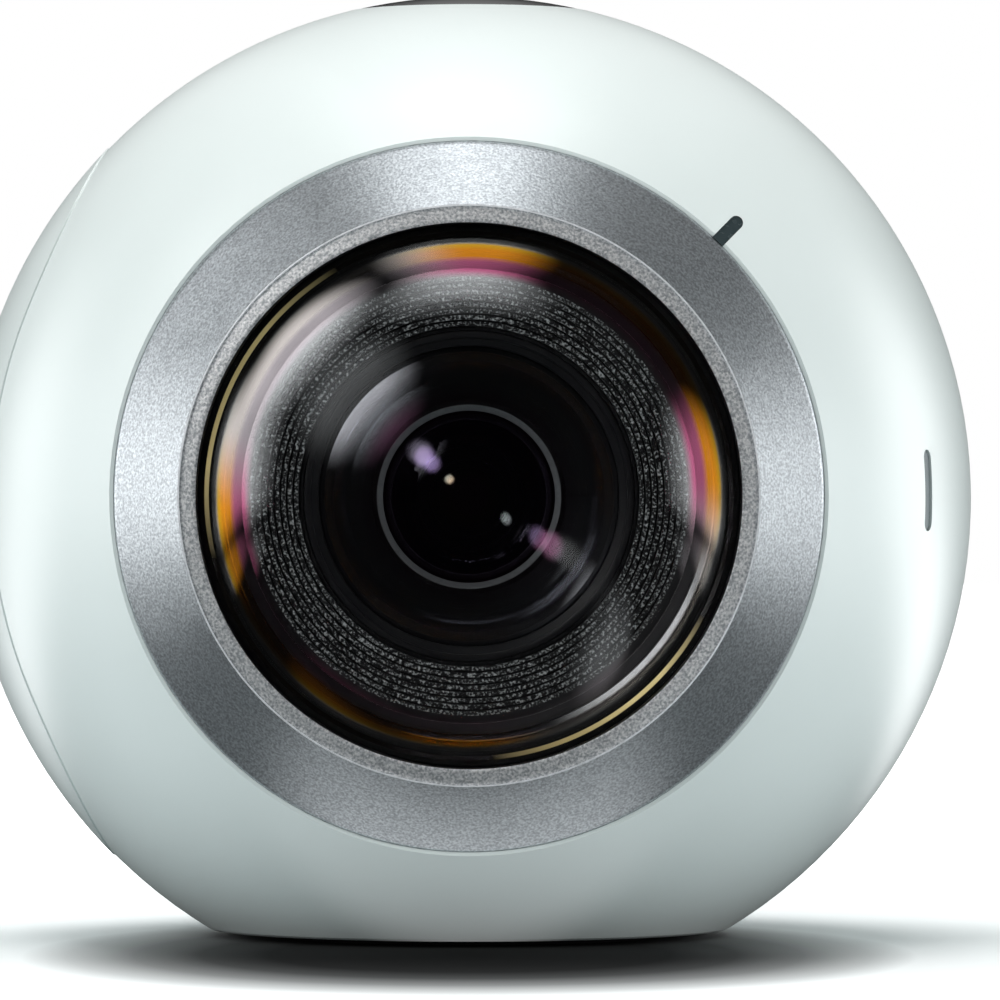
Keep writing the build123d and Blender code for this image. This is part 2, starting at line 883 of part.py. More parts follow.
def battery_box(grow_y, grow_z, low_x, high_x):
    """The section of the battery, that much larger."""
    half = battery_thickness / 2 + grow_y
    tall = battery_height / 2 + grow_z
    return block((low_x, high_x), (-half, half), (-tall, tall))


def latch_slot():
    """The slot in the floor that the latch's foot runs in."""
    low = latch_foot_y - latch_gap
    high = latch_foot_y + latch_foot_thickness + latch_travel + latch_gap
    tall = latch_foot_half_height + latch_gap
    return block((floor_x - overrun, floor_back_x + overrun), (low, high), (latch_lift - tall, latch_lift + tall))


def side_frame():
    """The tub behind the cover: a curved flange, an oval wall and a flat floor with the ports."""
    shell_reach = inner_radius - seat_gap
    outside_x = -ball_radius - overrun
    margin = frame_flange_margin
    flange = ball(shell_reach) - ball(shell_reach - frame_flange_thickness)
    flange &= straight_oval(door_half_width + margin, door_half_height + margin, outside_x, floor_back_x)
    wall = straight_oval(pocket_half_width + pocket_wall, pocket_half_height + pocket_wall, outside_x, floor_back_x)
    tub = flange + (wall & ball(shell_reach))
    tub -= straight_oval(pocket_half_width, pocket_half_height, outside_x, floor_x)
    through = (floor_x - overrun, floor_back_x + overrun)
    tub -= battery_box(battery_play, battery_play_up, *through)
    tub -= usb_box(port_play, *through)
    tub -= card_box(card_play, *through)
    tub -= arm_box(arm_play, *through)
    return tub - latch_slot()


def side_cover():
    """The oval cover: a curved skin, two hinge knuckles and two tongues along its front edge."""
    skin = (ball(ball_radius + door_proud) - ball(cover_inner_radius)) & drafted_oval(-door_gap)
    weld = ball(cover_inner_radius + seat_gap)
    for side in (-1, 1):
        low = side * (arm_half_height + knuckle_gap)
        high = low + side * knuckle_height
        heights = sorted((ball_height + low, ball_height + high))
        knuckle = rod(knuckle_radius, *heights, x=pin_x, y=pin_y)
        web = block((-ball_radius, pin_x), (pin_y - knuckle_radius, pin_y + knuckle_radius), (low, high))
        skin += (knuckle + web) & weld
        tongue_y = -(pocket_half_width - tongue_play)
        tongue = block(
            (-ball_radius, tongue_reach - reach(cover_inner_radius, tongue_y)),
            (tongue_y, tongue_y + tongue_thickness),
            (side * tongue_z - tongue_width / 2, side * tongue_z + tongue_width / 2),
        )
        skin += tongue & weld
    return skin - (rod(pin_radius, 0, 2 * ball_height, x=pin_x, y=pin_y) & ball(cover_inner_radius))


def cover_seal():
    """The thin gasket round the inside of the cover."""
    band = ball(cover_inner_radius) - ball(cover_inner_radius - door_seal_thickness)
    outside_x = -ball_radius - overrun
    edge_width = door_half_width - door_seal_inset
    edge_height = door_half_height - door_seal_inset - door_seal_width
    band &= straight_oval(edge_width, edge_height, outside_x, 0)
    return band - straight_oval(edge_width - door_seal_width, edge_height - door_seal_width, outside_x, 0)


def cover_arm():
    """The flat tether that slides out with the cover and carries its hinge."""
    bar = arm_box(0, pin_x, arm_end_x)
    head = block(
        (arm_end_x - arm_head_length, arm_end_x),
        (pin_y - arm_thickness / 2, pin_y + arm_thickness / 2),
        (-arm_head_half_height, arm_head_half_height),
    )
    low, high = ball_height - arm_half_height, ball_height + arm_half_height
    eye = rod(arm_eye_radius, low, high, x=pin_x, y=pin_y)
    bore = rod(pin_radius + pin_play, low - overrun, high + overrun, x=pin_x, y=pin_y)
    return bar + head + eye - bore


def cover_pin():
    """The hinge pin through the knuckles and the arm."""
    half = arm_half_height + knuckle_gap + knuckle_height - pin_overhang
    return rod(pin_radius, ball_height - half, ball_height + half, x=pin_x, y=pin_y)


def usb_port():
    """The metal port with its tongue."""
    face_x = floor_x - usb_proud
    port = usb_box(0, face_x, face_x + usb_length)
    port -= usb_box(-usb_wall, face_x - overrun, face_x + usb_length - usb_wall)
    tongue = block(
        (face_x + usb_wall, face_x + usb_length),
        (usb_y - usb_tongue_thickness / 2, usb_y + usb_tongue_thickness / 2),
        (-usb_drop - usb_tongue_half_height, -usb_drop + usb_tongue_half_height),
    )
    return port + tongue


def card_slot():
    """The folded steel case that the card pushes into."""
    card_end = floor_x - card_proud + card_length
    case_end = card_end + card_travel + card_play + slot_wall
    case = card_box(card_play + slot_wall, floor_back_x, case_end)
    return case - card_box(card_play, floor_back_x - overrun, case_end - slot_wall)


def memory_card():
    """The card, with its cut corner at the inner end."""
    start = floor_x - card_proud
    card = card_box(0, start, start + card_length)
    corner = card.edges().filter_by(Axis.Y).sort_by_distance(
        (start + card_length, card_y, ball_height + card_lift + card_height / 2)
    )
    return chamfer(corner[0], card_corner)


def battery_latch():
    """The sliding catch that keeps the battery in: a thumb plate, and a foot with a head below the floor."""
    tall = latch_half_height
    top = floor_x - latch_gap
    plate = block(
        (top - latch_thickness, top),
        (latch_tip_y, latch_tip_y + latch_length),
        (latch_lift - tall, latch_lift + tall),
    )
    for index in range(latch_ridge_count):
        ridge_y = latch_foot_y + (index - 1) * latch_ridge_pitch
        plate += block(
            (top - latch_thickness - latch_ridge_height, top - latch_thickness),
            (ridge_y, ridge_y + latch_ridge_pitch / 2),
            (latch_lift - tall + latch_ridge_pitch, latch_lift + tall - latch_ridge_pitch),
        )
    under = floor_back_x + latch_gap
    foot_span = (latch_foot_y, latch_foot_y + latch_foot_thickness)
    foot = block(
        (top, under), foot_span, (latch_lift - latch_foot_half_height, latch_lift + latch_foot_half_height)
    )
    head = block(
        (under, under + latch_head_thickness),
        foot_span,
        (latch_lift - latch_head_half_height, latch_lift + latch_head_half_height),
    )
    return plate + foot + head


# Inside: battery, bay and boards


def battery():
    """The flat battery, slid in edge first between the two lens modules."""
    cell = battery_box(0, 0, battery_start_x, battery_end_x)
    return fillet(cell.edges().filter_by(Axis.X), battery_corner)


def core_frame():
    """The battery bay, with bosses for the lens modules, the boards and the base."""
    bay = block((floor_back_x, bay_end_x), (-bay_half_y, bay_half_y), (-bay_half_z, bay_half_z))
    bay -= battery_box(battery_play, battery_play_up, floor_back_x - overrun, bay_end_x - bay_end_wall)
    for x, z in ((0, lens_boss_reach), (0, -lens_boss_reach), (lens_boss_reach, 0)):
        boss = depth_rod(lens_boss_radius, bay_half_y, sensor_board_depth, x, z)
        for post in both_ends(boss):
            bay += post
    for y in (-board_boss_y, board_boss_y):
        for z in (board_boss_inset - main_board_half_z, main_board_half_z - board_boss_inset):
            bay += extrude(side_plane(bay_end_x) * Pos(y, z) * Circle(board_boss_radius), board_boss_height)
    bay_top = ball_height + bay_half_z
    bay_under = ball_height - bay_half_z
    for side in (-1, 1):
        bay += rod(top_post_radius, bay_top, top_board_under_z, x=side * top_post_x)
        post = rod(base_post_radius, base_top_z, bay_under, x=side * base_screw_x)
        bay += post - base_screw(side)
    pad_y = pin_y - arm_thickness / 2 - guide_pad_gap
    return bay + block(
        (floor_back_x, guide_pad_end_x), (bay_half_y, pad_y), (-arm_half_height, arm_half_height)
    )


def battery_contacts():
    """The sprung contacts on the end wall of the bay."""
    wall_x = bay_end_x - bay_end_wall
    block_x = wall_x - contact_block_thickness
    tall = contact_pitch * contact_count / 2
    strip = block((block_x, wall_x), (-contact_height / 2, contact_height / 2), (-tall, tall))
    for index in range(contact_count):
        z = (index - (contact_count - 1) / 2) * contact_pitch
        strip += block(
            (battery_end_x + seat_gap, block_x),
            (-contact_height / 2 + contact_width / 2, contact_height / 2 - contact_width / 2),
            (z - contact_width / 2, z + contact_width / 2),
        )
    return strip


def main_board():
    """The board at the end of the battery bay, with the processor on it."""
    board = block(
        (main_board_x, main_board_face_x),
        (-main_board_half_y, main_board_half_y),
        (-main_board_half_z, main_board_half_z),
    )
    chip_top_x = main_board_face_x + chip_height
    return board + block((main_board_face_x, chip_top_x), (-chip_half, chip_half), (-chip_half, chip_half))


def shield_can():
    """The thin metal can over the processor."""
    face = main_board_face_x
    can = block((face, face + shield_height), (-shield_half_y, shield_half_y), (-shield_half_z, shield_half_z))
    inside_y = shield_half_y - shield_wall
    inside_z = shield_half_z - shield_wall
    return can - block(
        (face - overrun, face + shield_height - shield_wall), (-inside_y, inside_y), (-inside_z, inside_z)
    )


# Top: panel, button, display and board


def top_panel():
    """The round gloss panel that follows the ball, with the button's hole."""
    disc = rod(panel_radius, panel_under_z, ball_top_z + overrun)
    disc &= ball(ball_radius - panel_sink)
    return disc - rod(button_radius + button_gap, panel_under_z - overrun, 2 * ball_radius, y=button_y)


def ok_button():
    """The round shutter button with a shallow dish, on a wider foot under the panel."""
    cap = rod(button_radius, button_flange_top_z, ball_top_z + overrun, y=button_y)
    cap &= ball(ball_radius + button_proud)
    top = ball_height + reach(ball_radius + button_proud, button_y)
    dish = Pos(0, button_y, top - button_dish_depth + button_dish_radius) * Sphere(button_dish_radius)
    foot_radius = button_radius + button_flange_width
    return cap - dish + rod(foot_radius, button_under_z, button_flange_top_z, y=button_y)


def ok_switch():
    """The switch under the shutter button."""
    level = top_board_top_z - ball_height
    body = block(
        (-switch_half, switch_half),
        (button_y - switch_half, button_y + switch_half),
        (level, level + switch_height),
    )
    return body + rod(plunger_radius, switch_top_z, plunger_top_z, y=button_y)


def display_module():
    """The small display that shines through the panel, on a frame that stands on the top board."""
    low = top_board_top_z - ball_height
    high = panel_under_z - seat_gap - ball_height
    x, y = display_half_x, display_half_y
    body = block((-x, x), (display_y - y, display_y + y), (low, high))
    hollow_x, hollow_y = x - display_frame, y - display_frame
    return body - block(
        (-hollow_x, hollow_x),
        (display_y - hollow_y, display_y + hollow_y),
        (low - overrun, high - display_frame),
    )


def top_board():
    """The round board under the top panel."""
    return rod(top_board_radius, top_board_under_z, top_board_top_z)


# Base: plate, foot, tripod socket and screws


def base_screw(side):
    """One screw that holds the base plate to the battery bay."""
    head_low = foot_thickness + base_screw_sink
    head_high = head_low + base_screw_head_height
    head = rod(base_screw_head_radius, head_low, head_high, x=side * base_screw_x)
    shank = rod(base_screw_shank_radius, head_high, head_high + base_screw_length, x=side * base_screw_x)
    return head + shank


def base_plate():
    """The round plate in the flat of the casing, with a groove for the foot ring."""
    disc = rod(base_hole_radius - base_gap, foot_stand, base_top_z)
    flange = rod(base_hole_radius + base_flange_width, foot_stand, base_top_z)
    plate = disc + (flange & ball(inner_radius - seat_gap))
    groove = rod(foot_outer_radius, -overrun, foot_thickness) - rod(foot_inner_radius, -overrun, foot_thickness)
    plate -= groove
    plate -= rod(insert_radius, -overrun, base_top_z + overrun)
    for side in (-1, 1):
        plate -= base_screw(side)
        plate -= rod(base_screw_head_radius, 0, foot_thickness + base_screw_sink, x=side * base_screw_x)
    return plate


def foot_ring():
    """The soft ring that the camera stands on."""
    foot = rod(foot_outer_radius, 0, foot_thickness) - rod(foot_inner_radius, 0, foot_thickness)
    return chamfer(foot.edges().group_by(Axis.Z)[0], foot_edge_bevel)


def tripod_insert():
    """The brass socket for a tripod screw, with a collar on the base plate."""
    top = foot_stand + socket_depth + insert_cap
    collar_top = base_top_z + insert_flange_thickness
    collar = rod(insert_radius + insert_flange_width, base_top_z, collar_top)
    body = rod(insert_radius, foot_stand, top) + collar
    return body - rod(socket_bore_radius, foot_stand - overrun, foot_stand + socket_depth)


def build_nodes():
    """Every separate piece of the camera by its name."""
    nodes = {}
    twins = {
        "trim_ring": trim_ring(),
        "lens_rim": lens_rim(),
        "dome_glass": dome_glass(),
        "baffle": lens_baffle(),
        "lens_housing": lens_housing(),
        "lens_barrel": lens_barrel(),
        "second_element": second_element(),
        "retaining_ring": retaining_ring(),
        "third_element": third_element(),
        "rear_element": rear_element(),
        "sensor": image_sensor(),
        "sensor_board": sensor_board(),
        "status_window": status_window(),
    }
    for name, shape in twins.items():
        nodes["front_" + name], nodes["back_" + name] = both_ends(shape)
    groups = {"dome_seals": [dome_seal()], "iris_plates": [iris_plate()], "lens_screws": lens_screws()}
    groups["key_switches"] = [key_switch()]
    for name, shapes in groups.items():
        nodes[name] = Compound(children=[half for shape in shapes for half in both_ends(shape)])

    front = shell_openings(shell_blank())
    nodes["front_shell"] = front
    back = mirror(front, about=Plane.XZ) + alignment_lip()
    for hole in speaker_holes():
        back -= hole
    for side in (-1, 1):
        back -= microphone_hole(side)
    nodes["back_shell"] = back

    nodes["menu_key"], nodes["power_key"] = both_ends(side_key())
    nodes["side_frame"] = side_frame()
    nodes["side_cover"] = side_cover()
    nodes["cover_seal"] = cover_seal()
    nodes["cover_arm"] = cover_arm()
    nodes["cover_pin"] = cover_pin()
    nodes["usb_port"] = usb_port()
    nodes["card_slot"] = card_slot()
    nodes["memory_card"] = memory_card()
    nodes["battery_latch"] = battery_latch()
    nodes["battery"] = battery()
    nodes["core_frame"] = core_frame()
    nodes["battery_contacts"] = battery_contacts()
    nodes["main_board"] = main_board()
    nodes["shield_can"] = shield_can()
    nodes["top_panel"] = top_panel()
    nodes["ok_button"] = ok_button()
    nodes["ok_switch"] = ok_switch()
    nodes["display_module"] = display_module()
    nodes["top_board"] = top_board()
    nodes["base_plate"] = base_plate()
    nodes["foot_ring"] = foot_ring()
    nodes["tripod_insert"] = tripod_insert()
    nodes["base_screws"] = Compound(children=[base_screw(side) for side in (-1, 1)])
    nodes["speaker"] = speaker()
    nodes["microphones"] = Compound(children=[microphone(side) for side in (-1, 1)])
    return nodes


os.makedirs("parts", exist_ok=True)
for node_name, node_shape in build_nodes().items():
    export_step(node_shape, "parts/" + node_name + ".step")
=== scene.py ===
# %% [markdown]
# # A pocket camera that sees all round
#
# The camera is a white ball with a fisheye lens on its front and another on its back.
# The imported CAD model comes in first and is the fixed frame. Every new piece is made in metres and
# in its own place on the camera, so nothing has to be fitted afterwards.

# %% Load the frame
import bmesh
import bpy
from math import atan2, cos, pi, radians, sin, sqrt
from mathutils import Matrix, Vector


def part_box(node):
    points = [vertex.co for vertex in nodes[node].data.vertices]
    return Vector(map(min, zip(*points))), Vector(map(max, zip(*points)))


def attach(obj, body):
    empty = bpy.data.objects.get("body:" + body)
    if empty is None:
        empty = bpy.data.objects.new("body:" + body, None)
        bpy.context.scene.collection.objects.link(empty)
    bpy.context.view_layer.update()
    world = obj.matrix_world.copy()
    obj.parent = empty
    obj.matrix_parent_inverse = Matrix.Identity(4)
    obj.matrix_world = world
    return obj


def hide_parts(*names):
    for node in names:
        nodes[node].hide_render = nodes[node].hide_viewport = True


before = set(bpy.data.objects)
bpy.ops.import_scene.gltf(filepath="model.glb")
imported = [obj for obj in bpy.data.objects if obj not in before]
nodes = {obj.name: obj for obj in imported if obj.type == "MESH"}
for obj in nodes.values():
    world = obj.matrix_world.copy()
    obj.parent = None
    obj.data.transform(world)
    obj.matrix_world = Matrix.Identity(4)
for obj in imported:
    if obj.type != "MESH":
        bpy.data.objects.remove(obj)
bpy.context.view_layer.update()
MM = 0.001

# %% [markdown]
# ## The viewpoint
#
# The photograph is taken from straight in front, a little below the middle of the ball, with a long lens.
# A long lens from half a metre keeps the rings of the lens module nearly concentric.
# The ball isn't in the middle of the picture, so the film is shifted a little instead of turning the camera,
# because turning it would make the rings oval.

# %% Camera
BALL_MIDDLE = Vector((0, 0, 26.15 * MM))
eye = Vector((0, -466 * MM, 23.45 * MM))
viewpoint = bpy.data.cameras.new("viewpoint")
viewpoint.sensor_width = 36
viewpoint.lens = 279.7
viewpoint.shift_x = 0.031
viewpoint.shift_y = -0.0015
viewpoint.clip_start = 0.01
camera = bpy.data.objects.new("viewpoint", viewpoint)
camera.location = eye
camera.rotation_euler = (BALL_MIDDLE - eye).to_track_quat("-Z", "Y").to_euler()
bpy.context.collection.objects.link(camera)
bpy.context.scene.camera = camera
print("camera:", round((BALL_MIDDLE - eye).length / MM), "mm from the middle of the ball")

# %% [markdown]
# ## Turned pieces
#
# Nearly every piece of a lens module is turned on a lathe or moulded round: trim, rim, glass, rings.
# Such a piece is a half section swung round the lens axis, which is what the spin operator does.
# A half section here is a list of corners, each a radius and a depth, and the depth is counted
# from the middle of the ball towards the front, as in the CAD.
# The wider the ring, the more steps the spin needs before its outline looks round.


# %% Half sections and the spin
WIDE_STEPS, STEPS, SMALL_STEPS, TINY_STEPS = 240, 180, 120, 96


def section(corners, closed=True):
    """A half section in a new bmesh: corners of radius and depth in millimetres, joined by edges."""
    bm = bmesh.new()
    verts = [bm.verts.new((radius * MM, -depth * MM, BALL_MIDDLE.z)) for radius, depth in corners]
    for a, b in zip(verts, verts[1:]):
        bm.edges.new((a, b))
    if closed:
        bm.edges.new((verts[-1], verts[0]))
    return bm


def turn(bm, steps=STEPS):
    """Swings everything in the bmesh once round the lens axis and closes it."""
    geom = bm.verts[:] + bm.edges[:]
    bmesh.ops.spin(bm, geom=geom, cent=BALL_MIDDLE, axis=(0, 1, 0), angle=2 * pi, steps=steps, use_merge=True)
    bmesh.ops.remove_doubles(bm, verts=bm.verts, dist=MM / 1000)
    bmesh.ops.recalc_face_normals(bm, faces=bm.faces)
    return bm


def break_edges(bm, width, angle=30):
    """Rounds every edge sharper than the angle, as no real edge is razor sharp."""
    sharp = [e for e in bm.edges if len(e.link_faces) == 2 and e.calc_face_angle(0) > radians(angle)]
    bmesh.ops.bevel(
        bm, geom=sharp, offset=width * MM, offset_type="OFFSET", segments=2,
        profile=0.5, affect="EDGES", material=-1, clamp_overlap=True,
    )
    return bm


# %% [markdown]
# A finished bmesh becomes an object at the origin, with its place in its mesh.
# The back module is the front one turned half way round the upright axis, and not mirrored:
# a turned piece looks the same either way, and a turn can't flip its faces inside out.


# %% Objects from bmeshes
def place(name, bm, finish, slot, stands_for, body="camera_body", smooth_under=40, second_finish=None):
    """Makes the object, gives it its finish, and puts it in place of the CAD pieces it stands for."""
    mesh = bpy.data.meshes.new(name)
    bm.to_mesh(mesh)
    bm.free()
    mesh.shade_smooth()
    mesh.set_sharp_from_angle(angle=radians(smooth_under))
    mesh.materials.append(finish)
    if second_finish:
        mesh.materials.append(second_finish)
    piece = bpy.data.objects.new(name, mesh)
    bpy.context.collection.objects.link(piece)
    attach(piece, body)
    if stands_for:
        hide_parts(*stands_for)


def half_way_round(bm, verts):
    """Turns these vertices half way round the upright axis, from the front module to the back one."""
    bmesh.ops.rotate(bm, verts=verts, cent=(0, 0, 0), matrix=Matrix.Rotation(pi, 3, "Z"))


def place_pair(name, make, finish, slot, node, **more):
    """Places the piece in the front module and its twin in the back one."""
    for end in ("front", "back"):
        bm = make()
        if end == "back":
            half_way_round(bm, bm.verts)
        faces = len(bm.faces)
        place(f"{end}_{name}", bm, finish, slot, [f"{end}_{node}"] if node else [], **more)
    print(name + ":", faces, "faces each")


# %% [markdown]
# ## Finishes
#
# Each finish is a small node tree round one Principled shader. These first helpers add a node, link two
# sockets and make the shader. A world has a node tree too, so the first two work on a world as well.


# %% A finish and its nodes
def add(owner, kind, **settings):
    """A node in the tree of a material or a world, with some of its inputs or options set."""
    node = owner.node_tree.nodes.new(kind)
    for key, value in settings.items():
        if key in node.inputs:
            node.inputs[key].default_value = value
        else:
            setattr(node, key, value)
    return node


def join(owner, source, target):
    """Links an output socket to an input socket."""
    owner.node_tree.links.new(source, target)


def new_finish(name, **constants):
    """A material with one Principled shader, with the constants set on its own sockets."""
    material = bpy.data.materials.new(name)
    material.use_nodes = True
    shader = material.node_tree.nodes["Principled BSDF"]
    for key, value in constants.items():
        shader.inputs[key.replace("_", " ")].default_value = value
    return material, shader


# %% [markdown]
# Most of what a finish does is to run one number into another or into a colour. A Map Range node does
# the first, with straight or soft ends, and a colour ramp does the second.
# A noise node seldom gives less than 0.3 or more than 0.7, so the stretch between those is what gets used.

# %% Numbers into numbers and colours
NOISE_LOW, NOISE_HIGH = 0.3, 0.7


def spread(owner, value, start=0.0, end=1.0, low=0.0, high=1.0, **settings):
    """While the value goes from start to end, the result goes from low to high."""
    node = add(owner, "ShaderNodeMapRange", **settings)
    for name, number in (("From Min", start), ("From Max", end), ("To Min", low), ("To Max", high)):
        node.inputs[name].default_value = number
    join(owner, value, node.inputs["Value"])
    return node.outputs["Result"]


def ease(owner, value, **ends):
    """The same, with a soft start and a soft end."""
    return spread(owner, value, interpolation_type="SMOOTHSTEP", **ends)


def ramp(owner, value, stops):
    """The colour for this value on a ramp through the stops, each a position and a colour."""
    node = add(owner, "ShaderNodeValToRGB")
    elements = node.color_ramp.elements
    while len(elements) < len(stops):
        elements.new(1.0)
    for element, (position, colour) in zip(elements, stops):
        element.position = position
        element.color = (*colour, 1)
    join(owner, value, node.inputs["Fac"])
    return node.outputs["Color"]


# %% [markdown]
# Nothing real has one even colour. Each surface gets a grain: a noise in Object coordinates, which are
# metres here, that drives a slight relief and a slight change of colour and roughness.
# The grain size is given in millimetres, so it can be measured on the real thing.


# %% Grain
def grain(material, size, detail=3.0, stretch=(1, 1, 1)):
    """Noise whose lumps are about this many millimetres across, in the object's own coordinates."""
    here = add(material, "ShaderNodeTexCoord")
    mapping = add(material, "ShaderNodeMapping", Scale=stretch)
    noise = add(material, "ShaderNodeTexNoise", Scale=1 / (size * MM), Detail=detail, Roughness=0.55)
    join(material, here.outputs["Object"], mapping.inputs["Vector"])
    join(material, mapping.outputs["Vector"], noise.inputs["Vector"])
    return noise.outputs["Fac"]


def vary(material, noise, low, high, socket):
    """Spreads a noise between two numbers and sends it to a socket."""
    join(material, spread(material, noise, NOISE_LOW, NOISE_HIGH, low, high), socket)


def tint(material, value, dark, light, socket, low=NOISE_LOW, high=NOISE_HIGH):
    """Runs a value from one colour to another and sends it to a socket."""
    join(material, ramp(material, value, [(low, dark), (high, light)]), socket)


def roughen(material, value, depth, shader):
    """Bumps the surface by the value, that many millimetres deep."""
    bump = add(material, "ShaderNodeBump", Strength=1.0, Distance=depth * MM)
    join(material, value, bump.inputs["Height"])
    join(material, bump.outputs["Normal"], shader.inputs["Normal"])


def plain_finish(name, dark, light, size, rough, depth, stretch=(1, 1, 1), **constants):
    """A finish with grain in its colour, its roughness and its relief."""
    material, shader = new_finish(name, **constants)
    noise = grain(material, size, stretch=stretch)
    tint(material, noise, dark, light, shader.inputs["Base Color"])
    vary(material, noise, *rough, shader.inputs["Roughness"])
    roughen(material, noise, depth, shader)
    return material


# %% [markdown]
# ### The white casing
#
# The casing is white plastic with a satin clear coat. Its highlights are broad and soft, so the body is
# fairly rough and the coat isn't quite polished. A very fine orange-peel relief breaks
# the reflections up a little, and the white has a touch of green-grey in it.

# %% White plastic
shell_white, shader = new_finish("shell_white", Coat_Weight=1.0, Coat_Roughness=0.3, Coat_IOR=1.5)
peel = grain(shell_white, 0.35, detail=2)
clouds = grain(shell_white, 9.0, detail=1)
tint(shell_white, clouds, (0.775, 0.85, 0.832), (0.80, 0.875, 0.858), shader.inputs["Base Color"])
vary(shell_white, peel, 0.36, 0.42, shader.inputs["Roughness"])
roughen(shell_white, peel, 0.0012, shader)

# %% [markdown]
# ### Bead-blasted metal
#
# The wide cone is metal blasted with fine beads: it has no direction, and every tiny dent is a small
# mirror, so it sparkles. Two grains are used, a fine one for the sparkle and a much coarser one for the
# faint mottling. The narrow rim is blasted more deeply, and its turned edge is smooth and bright.

# %% Blasted metals
MOTTLE = 14
MOTTLE_ROUGHNESS = 0.03
DENT_DARK, DENT_LIGHT = 0.32, 0.68


def blasted(name, dark, light, size, depth, rough, metallic):
    """Metal whose dents, each the size of a bead, show as dark and light specks."""
    material, shader = new_finish(name, Metallic=metallic)
    beads = grain(material, size, detail=1)
    mottle = grain(material, size * MOTTLE, detail=2)
    tint(material, beads, dark, light, shader.inputs["Base Color"], DENT_DARK, DENT_LIGHT)
    vary(material, mottle, rough - MOTTLE_ROUGHNESS, rough + MOTTLE_ROUGHNESS, shader.inputs["Roughness"])
    roughen(material, beads, depth, shader)
    return material


trim_metal = blasted(
    "trim_metal", dark=(0.39, 0.42, 0.45), light=(0.71, 0.76, 0.79),
    size=0.15, depth=0.012, rough=0.31, metallic=0.8)
rim_metal = blasted(
    "rim_metal", dark=(0.42, 0.44, 0.46), light=(1.0, 1.0, 1.0),
    size=0.16, depth=0.03, rough=0.44, metallic=0.62)
edge_metal = blasted(
    "edge_metal", dark=(0.78, 0.80, 0.82), light=(0.95, 0.97, 1.0),
    size=0.3, depth=0.002, rough=0.3, metallic=0.3)

# %% [markdown]
# ### Coated glass
#
# A camera lens is clear glass under a coating that lets nearly all the light in. What is left of
# the reflection is weak and coloured. Here the coating is treated as what it does, a very thin mirror:
# the shader is metallic, its colour is the colour of the reflection, and its alpha says how much of the light
# it returns. The rest goes straight through, so the black parts behind stay visible and are lit.
#
# Colour and strength follow the distance from the lens axis: towards the edge of the dome the coating turns pink,
# then orange and amber. The photograph shows these colours washed out to a pale grey at both ends of the diagonal
# from the upper left to the lower right, where the white of a lamp lies over them. A soft fade paints that pale
# grey into the coating's colour there: a painted highlight.

# %% Places on a lens
# Where the painted highlight lies on the dome's coating: its turn, its radius, its reach and where it is full.
PAINTED_HIGHLIGHT_TURN = 42.7
PAINTED_HIGHLIGHT_RADIUS, PAINTED_HIGHLIGHT_REACH = 13.9, 11
PAINTED_HIGHLIGHT_FULL = 0.45


def round_fade(owner, vector, centre, reach, turned=(0, 0, 0)):
    """A value of 1 at the centre that falls to 0 at this reach along each axis, in metres."""
    mapping = add(
        owner, "ShaderNodeMapping", vector_type="TEXTURE", Location=centre, Rotation=turned, Scale=reach)
    fade = add(owner, "ShaderNodeTexGradient", gradient_type="SPHERICAL")
    join(owner, vector, mapping.inputs["Vector"])
    join(owner, mapping.outputs["Vector"], fade.inputs["Vector"])
    return fade.outputs["Fac"]


def from_axis(material):
    """The place on the lens, counted from the lens axis and flattened along it."""
    here = add(material, "ShaderNodeTexCoord")
    centred = add(material, "ShaderNodeMapping", Location=(0, 0, -BALL_MIDDLE.z), Scale=(1, 0, 1))
    join(material, here.outputs["Object"], centred.inputs["Vector"])
    return centred.outputs["Vector"]


def painted_highlight_ends(material, place_on_lens, most):
    """The painted highlight: a value that rises to this much at both ends of the diagonal."""
    across = add(material, "ShaderNodeMapping", Rotation=(0, radians(-PAINTED_HIGHLIGHT_TURN), 0))
    both_ends = add(material, "ShaderNodeVectorMath", operation="ABSOLUTE")
    join(material, place_on_lens, across.inputs["Vector"])
    join(material, across.outputs["Vector"], both_ends.inputs[0])
    fade = round_fade(material, both_ends.outputs["Vector"], (PAINTED_HIGHLIGHT_RADIUS * MM, 0, 0), (PAINTED_HIGHLIGHT_REACH * MM,) * 3)
    return ease(material, fade, end=PAINTED_HIGHLIGHT_FULL, high=most)


# %% [markdown]
# Any glass returns more light at a slant. Layer Weight knows the slant, and it adds to the alpha towards
# the outline of the dome, so that the dome has a bright edge when it is seen from the side.

# %% Coated glass
PALE, PINK, ORANGE, AMBER = (0.86, 0.9, 0.92), (0.92, 0.22, 0.45), (1.0, 0.36, 0.02), (0.95, 0.55, 0.03)
COATING_REACH = 16
SLANT_FROM, SLANT_STRENGTH = 0.5, 0.75


def plus(owner, first, second, clamp=False):
    """The sum of two values, kept between 0 and 1 if it is clamped."""
    node = add(owner, "ShaderNodeMath", operation="ADD", use_clamp=clamp)
    join(owner, first, node.inputs[0])
    join(owner, second, node.inputs[1])
    return node.outputs[0]


